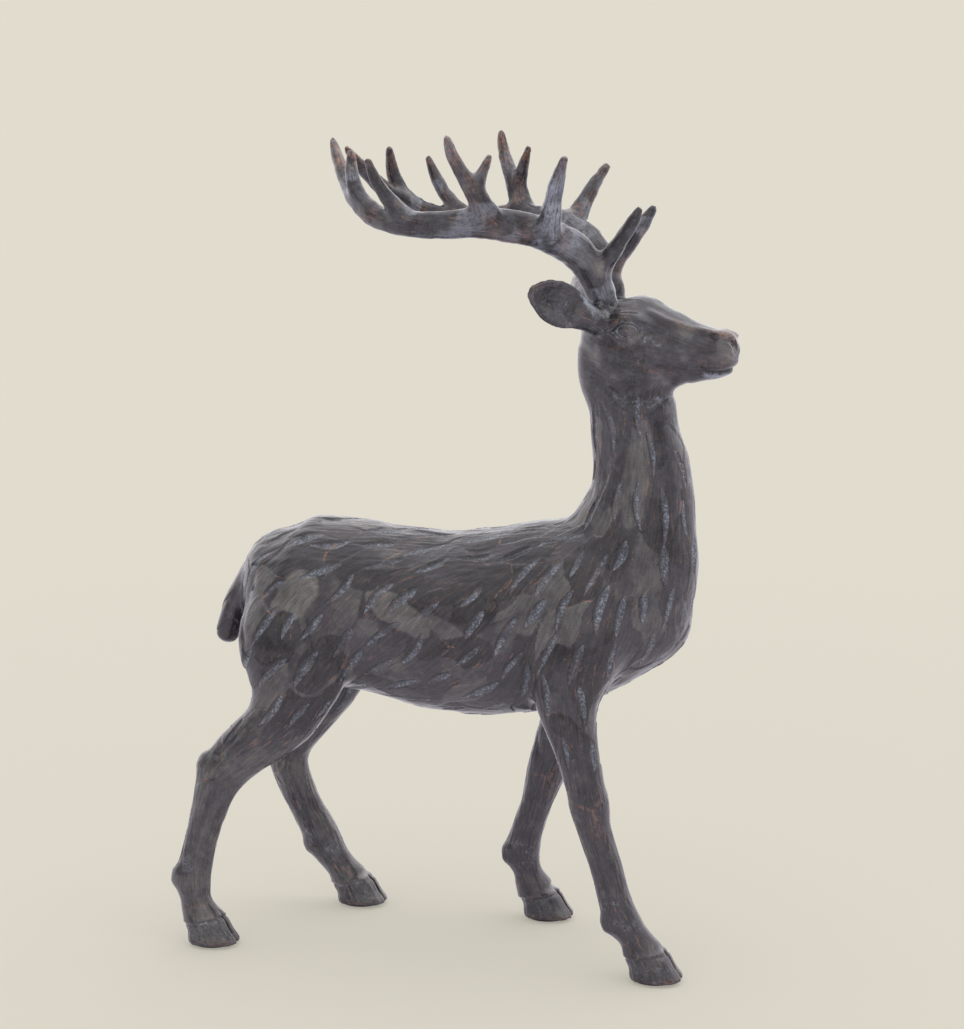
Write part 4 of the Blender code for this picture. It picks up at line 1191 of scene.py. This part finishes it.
def patina():
    """Dark bronze patina: stroke-wise tone, brushed streaks, blue-grey cuts, rubbed copper, wax, and
    painted shade in cuts, creases and grooves.
    """
    n = Coating("bronze_patina")
    fine = n.noise(2.4, 4, 0.65)
    speck = n.noise(0.9, 3, 0.7)
    grit = n.noise(1.5, 4, 0.8)
    hair = n.streaks(0.85, 3.4, 10)
    brushed = n.ramp(hair, 0.43, 0.57)
    in_cut = n.ramp(n.mark("gouge"), -0.10, 0.25)
    outside = n.minus(1.0, in_cut)
    colour = coloured_cuts(n, base_patina(n, brushed, fine), in_cut, outside, grit)
    copper = rubbed_share(n, hair, brushed, fine, speck, outside)
    colour = n.mix(n.times(copper, 0.72), colour, COPPER)

    wax = n.mark("wax")
    warp = n.new("ShaderNodeTexNoise")
    n.feed(warp.inputs["Vector"], n.place)
    warp.inputs["Scale"].default_value = 1.0 / (7.0 * MM)
    marbled = n.noise(5.0, 6, 0.75, n.moved(warp.outputs["Color"], 9.0))
    veil = n.times(n.mark("haze"), n.ramp(marbled, 0.47, 0.62))
    colour = n.mix(n.times(veil, 0.55), colour, HAZE)
    grain = n.plus(n.times(n.minus(grit, 0.5), 1.6), n.times(n.minus(marbled, 0.5), 1.8))
    waxed = n.times(n.ramp(n.plus(wax, grain), 0.22, 1.05), n.ramp(wax, 0.02, 0.15))
    colour = n.mix(n.times(waxed, 0.9), colour, WAX)
    # Painted shade from the dark mark in creases, grooves, holes and on upward-facing surfaces, along
    # with the darker tone of hooves and antler patches.
    colour = n.mix(n.times(n.mark("dark"), 0.6), colour, DEEP_TONE_AND_SHADE)

    n.feed(n.shader.inputs["Base Color"], colour)
    matt = n.math("MAXIMUM", n.times(in_cut, 0.8), waxed)
    n.feed(n.shader.inputs["Roughness"], n.blend(matt, n.blend(brushed, 0.38, 0.27), 0.55))
    n.feed(n.shader.inputs["Metallic"], n.blend(matt, 0.6, 0.3))
    n.shader.inputs["Coat Weight"].default_value = 0.9
    n.shader.inputs["Coat Roughness"].default_value = 0.14
    height = n.plus(n.times(brushed, 0.6), n.times(fine, 0.7))
    height = n.plus(height, n.times(n.times(speck, in_cut), 1.2))
    n.feed(n.shader.inputs["Normal"], n.bump(height, 0.35, 0.5))
    return n.material


def rod_bronze():
    n = Coating("rod_bronze")
    fine = n.noise(1.0, 4)
    n.feed(n.shader.inputs["Base Color"], n.mix(fine, *ROD))
    n.feed(n.shader.inputs["Roughness"], n.blend(fine, 0.25, 0.45))
    n.shader.inputs["Metallic"].default_value = 1.0
    n.feed(n.shader.inputs["Normal"], n.bump(fine, 0.2))
    return n.material


def felt():
    n = Coating("felt")
    fibre = n.noise(0.5, 5, 0.75)
    n.feed(n.shader.inputs["Base Color"], n.mix(fibre, *FELT))
    n.shader.inputs["Roughness"].default_value = 0.95
    n.shader.inputs["Sheen Weight"].default_value = 0.4
    n.feed(n.shader.inputs["Normal"], n.bump(fibre, 0.4))
    return n.material


# ---------------------------------------------------------------- pieces

def add_piece(name, mesh, material, slot, *nodes):
    mesh.materials.clear()
    mesh.materials.append(material)
    obj = placed(name, mesh)
    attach(obj, "root")
    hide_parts(*nodes)
    return obj


def sunk_fastener(node, material):
    """A pin or plug, its outer end sunk below the skin that was chased over it."""
    mesh = NODES[node].data.copy()
    points = points_of(mesh)
    if node == "belly_plug":
        outward = np.array([0.0, 0.0, -1.0])
    else:
        outward = np.array([0.0, -1.0 if node.endswith("right") else 1.0, 0.0])
    reach = points @ outward
    end = reach > reach.max() - 1.0
    set_points(mesh, points - np.outer(end * SUNK, outward))
    mesh.shade_smooth()
    mesh.set_sharp_from_angle(angle=math.radians(40))
    add_piece(node + "_rod", mesh, material, "pin_bronze", node)


def build_stag():
    bronze, rods, pads = patina(), rod_bronze(), felt()
    for node, mesh in split_body(*body_skin()).items():
        add_piece(node + "_skin", mesh, bronze, "bronze", node)
    for node in sorted(NODES):
        if "pin" in node or "plug" in node:
            sunk_fastener(node, rods)
        elif "pad" in node:
            NODES[node].data.materials.clear()
            NODES[node].data.materials.append(pads)


# ---------------------------------------------------------------- studio

BACKDROP = (0.753, 0.716, 0.6175)
SKY_COLOUR = (0.985, 0.97, 1.0)
SKY_BEFORE, SKY_BEHIND, SKY_ABOVE = 0.32, 1.2, 0.28
FLOOR_COLOUR = (0.625, 0.602, 0.509)
FLOOR_BOUNCE = (0.68, 0.66, 0.70)
FLOOR_GLOW = 0.45
BLACK = (0.0, 0.0, 0.0)
SUN_POWER, SUN_SPREAD, SUN_TURN = 0.75, 100.0, (38.0, 8.0, 0.0)
CAMERA_PLACE = (362.1, -1420.5, 489.6)
CAMERA_TURN = (90 - 8.555, 0.0, 14.3)
LENS, SENSOR, FAR_CLIP = 84.77, 36.0, 100.0


def make_world():
    """A soft studio: bright overhead and behind, dim towards the camera, with an even backdrop."""
    world = bpy.data.worlds.new("studio")
    bpy.context.scene.world = world
    n = Nodes(world)
    n.tree.nodes.clear()
    axes = n.new("ShaderNodeSeparateXYZ")
    n.feed(axes.inputs[0], n.new("ShaderNodeTexCoord").outputs["Generated"])
    behind = n.blend(n.ramp(axes.outputs["Y"], -0.7, 0.5), SKY_BEFORE, SKY_BEHIND)
    above = n.times(n.ramp(axes.outputs["Z"], 0.25, 0.95), SKY_ABOVE)
    light, seen = n.new("ShaderNodeBackground"), n.new("ShaderNodeBackground")
    n.feed(light.inputs["Color"], SKY_COLOUR)
    n.feed(light.inputs["Strength"], n.plus(behind, above))
    n.feed(seen.inputs["Color"], BACKDROP)
    mixer = n.new("ShaderNodeMixShader")
    n.feed(mixer.inputs[0], n.new("ShaderNodeLightPath").outputs["Is Camera Ray"])
    n.feed(mixer.inputs[1], light.outputs[0])
    n.feed(mixer.inputs[2], seen.outputs[0])
    n.feed(n.new("ShaderNodeOutputWorld").inputs["Surface"], mixer.outputs[0])


def make_floor():
    """A pale floor that melts into the backdrop within two metres of the stag."""
    bm = bmesh.new()
    bmesh.ops.create_grid(bm, x_segments=1, y_segments=1, size=30.0)
    mesh = bpy.data.meshes.new("studio_floor")
    bm.to_mesh(mesh)
    bm.free()
    n = Coating("studio_floor")
    seen = n.new("ShaderNodeLightPath").outputs["Is Camera Ray"]
    away = n.new("ShaderNodeVectorMath", operation="LENGTH")
    n.feed(away.inputs[0], n.place)
    glow = n.blend(n.ramp(away.outputs["Value"], 0.5, 2.0), FLOOR_GLOW, 1.0)
    glow = n.times(glow, seen)
    lit = n.mix(seen, FLOOR_BOUNCE, FLOOR_COLOUR)
    n.feed(n.shader.inputs["Base Color"], n.mix(glow, lit, BLACK))
    n.feed(n.shader.inputs["Emission Color"], BACKDROP)
    n.feed(n.shader.inputs["Emission Strength"], glow)
    n.shader.inputs["Roughness"].default_value = 1.0
    n.shader.inputs["Specular IOR Level"].default_value = 0.0
    mesh.materials.append(n.material)
    placed("studio_floor", mesh)


def make_lamp():
    lamp = bpy.data.lights.new("key", "SUN")
    lamp.energy = SUN_POWER
    lamp.angle = math.radians(SUN_SPREAD)
    placed("key", lamp).rotation_euler = [math.radians(a) for a in SUN_TURN]


def make_camera():
    """A long lens 1.47 m away, just below the height of the antlers' tips, looking down a little."""
    camera = bpy.data.cameras.new("camera")
    camera.sensor_width = SENSOR
    camera.lens = LENS
    camera.clip_end = FAR_CLIP
    obj = placed("camera", camera)
    obj.location = Vector(np.array(CAMERA_PLACE) + ORIGIN) * MM
    obj.rotation_euler = [math.radians(a) for a in CAMERA_TURN]
    bpy.context.scene.camera = obj
    bpy.context.scene.view_settings.view_transform = "Standard"


build_stag()
make_world()
make_floor()
make_lamp()
make_camera()

bpy.context.view_layer.update()
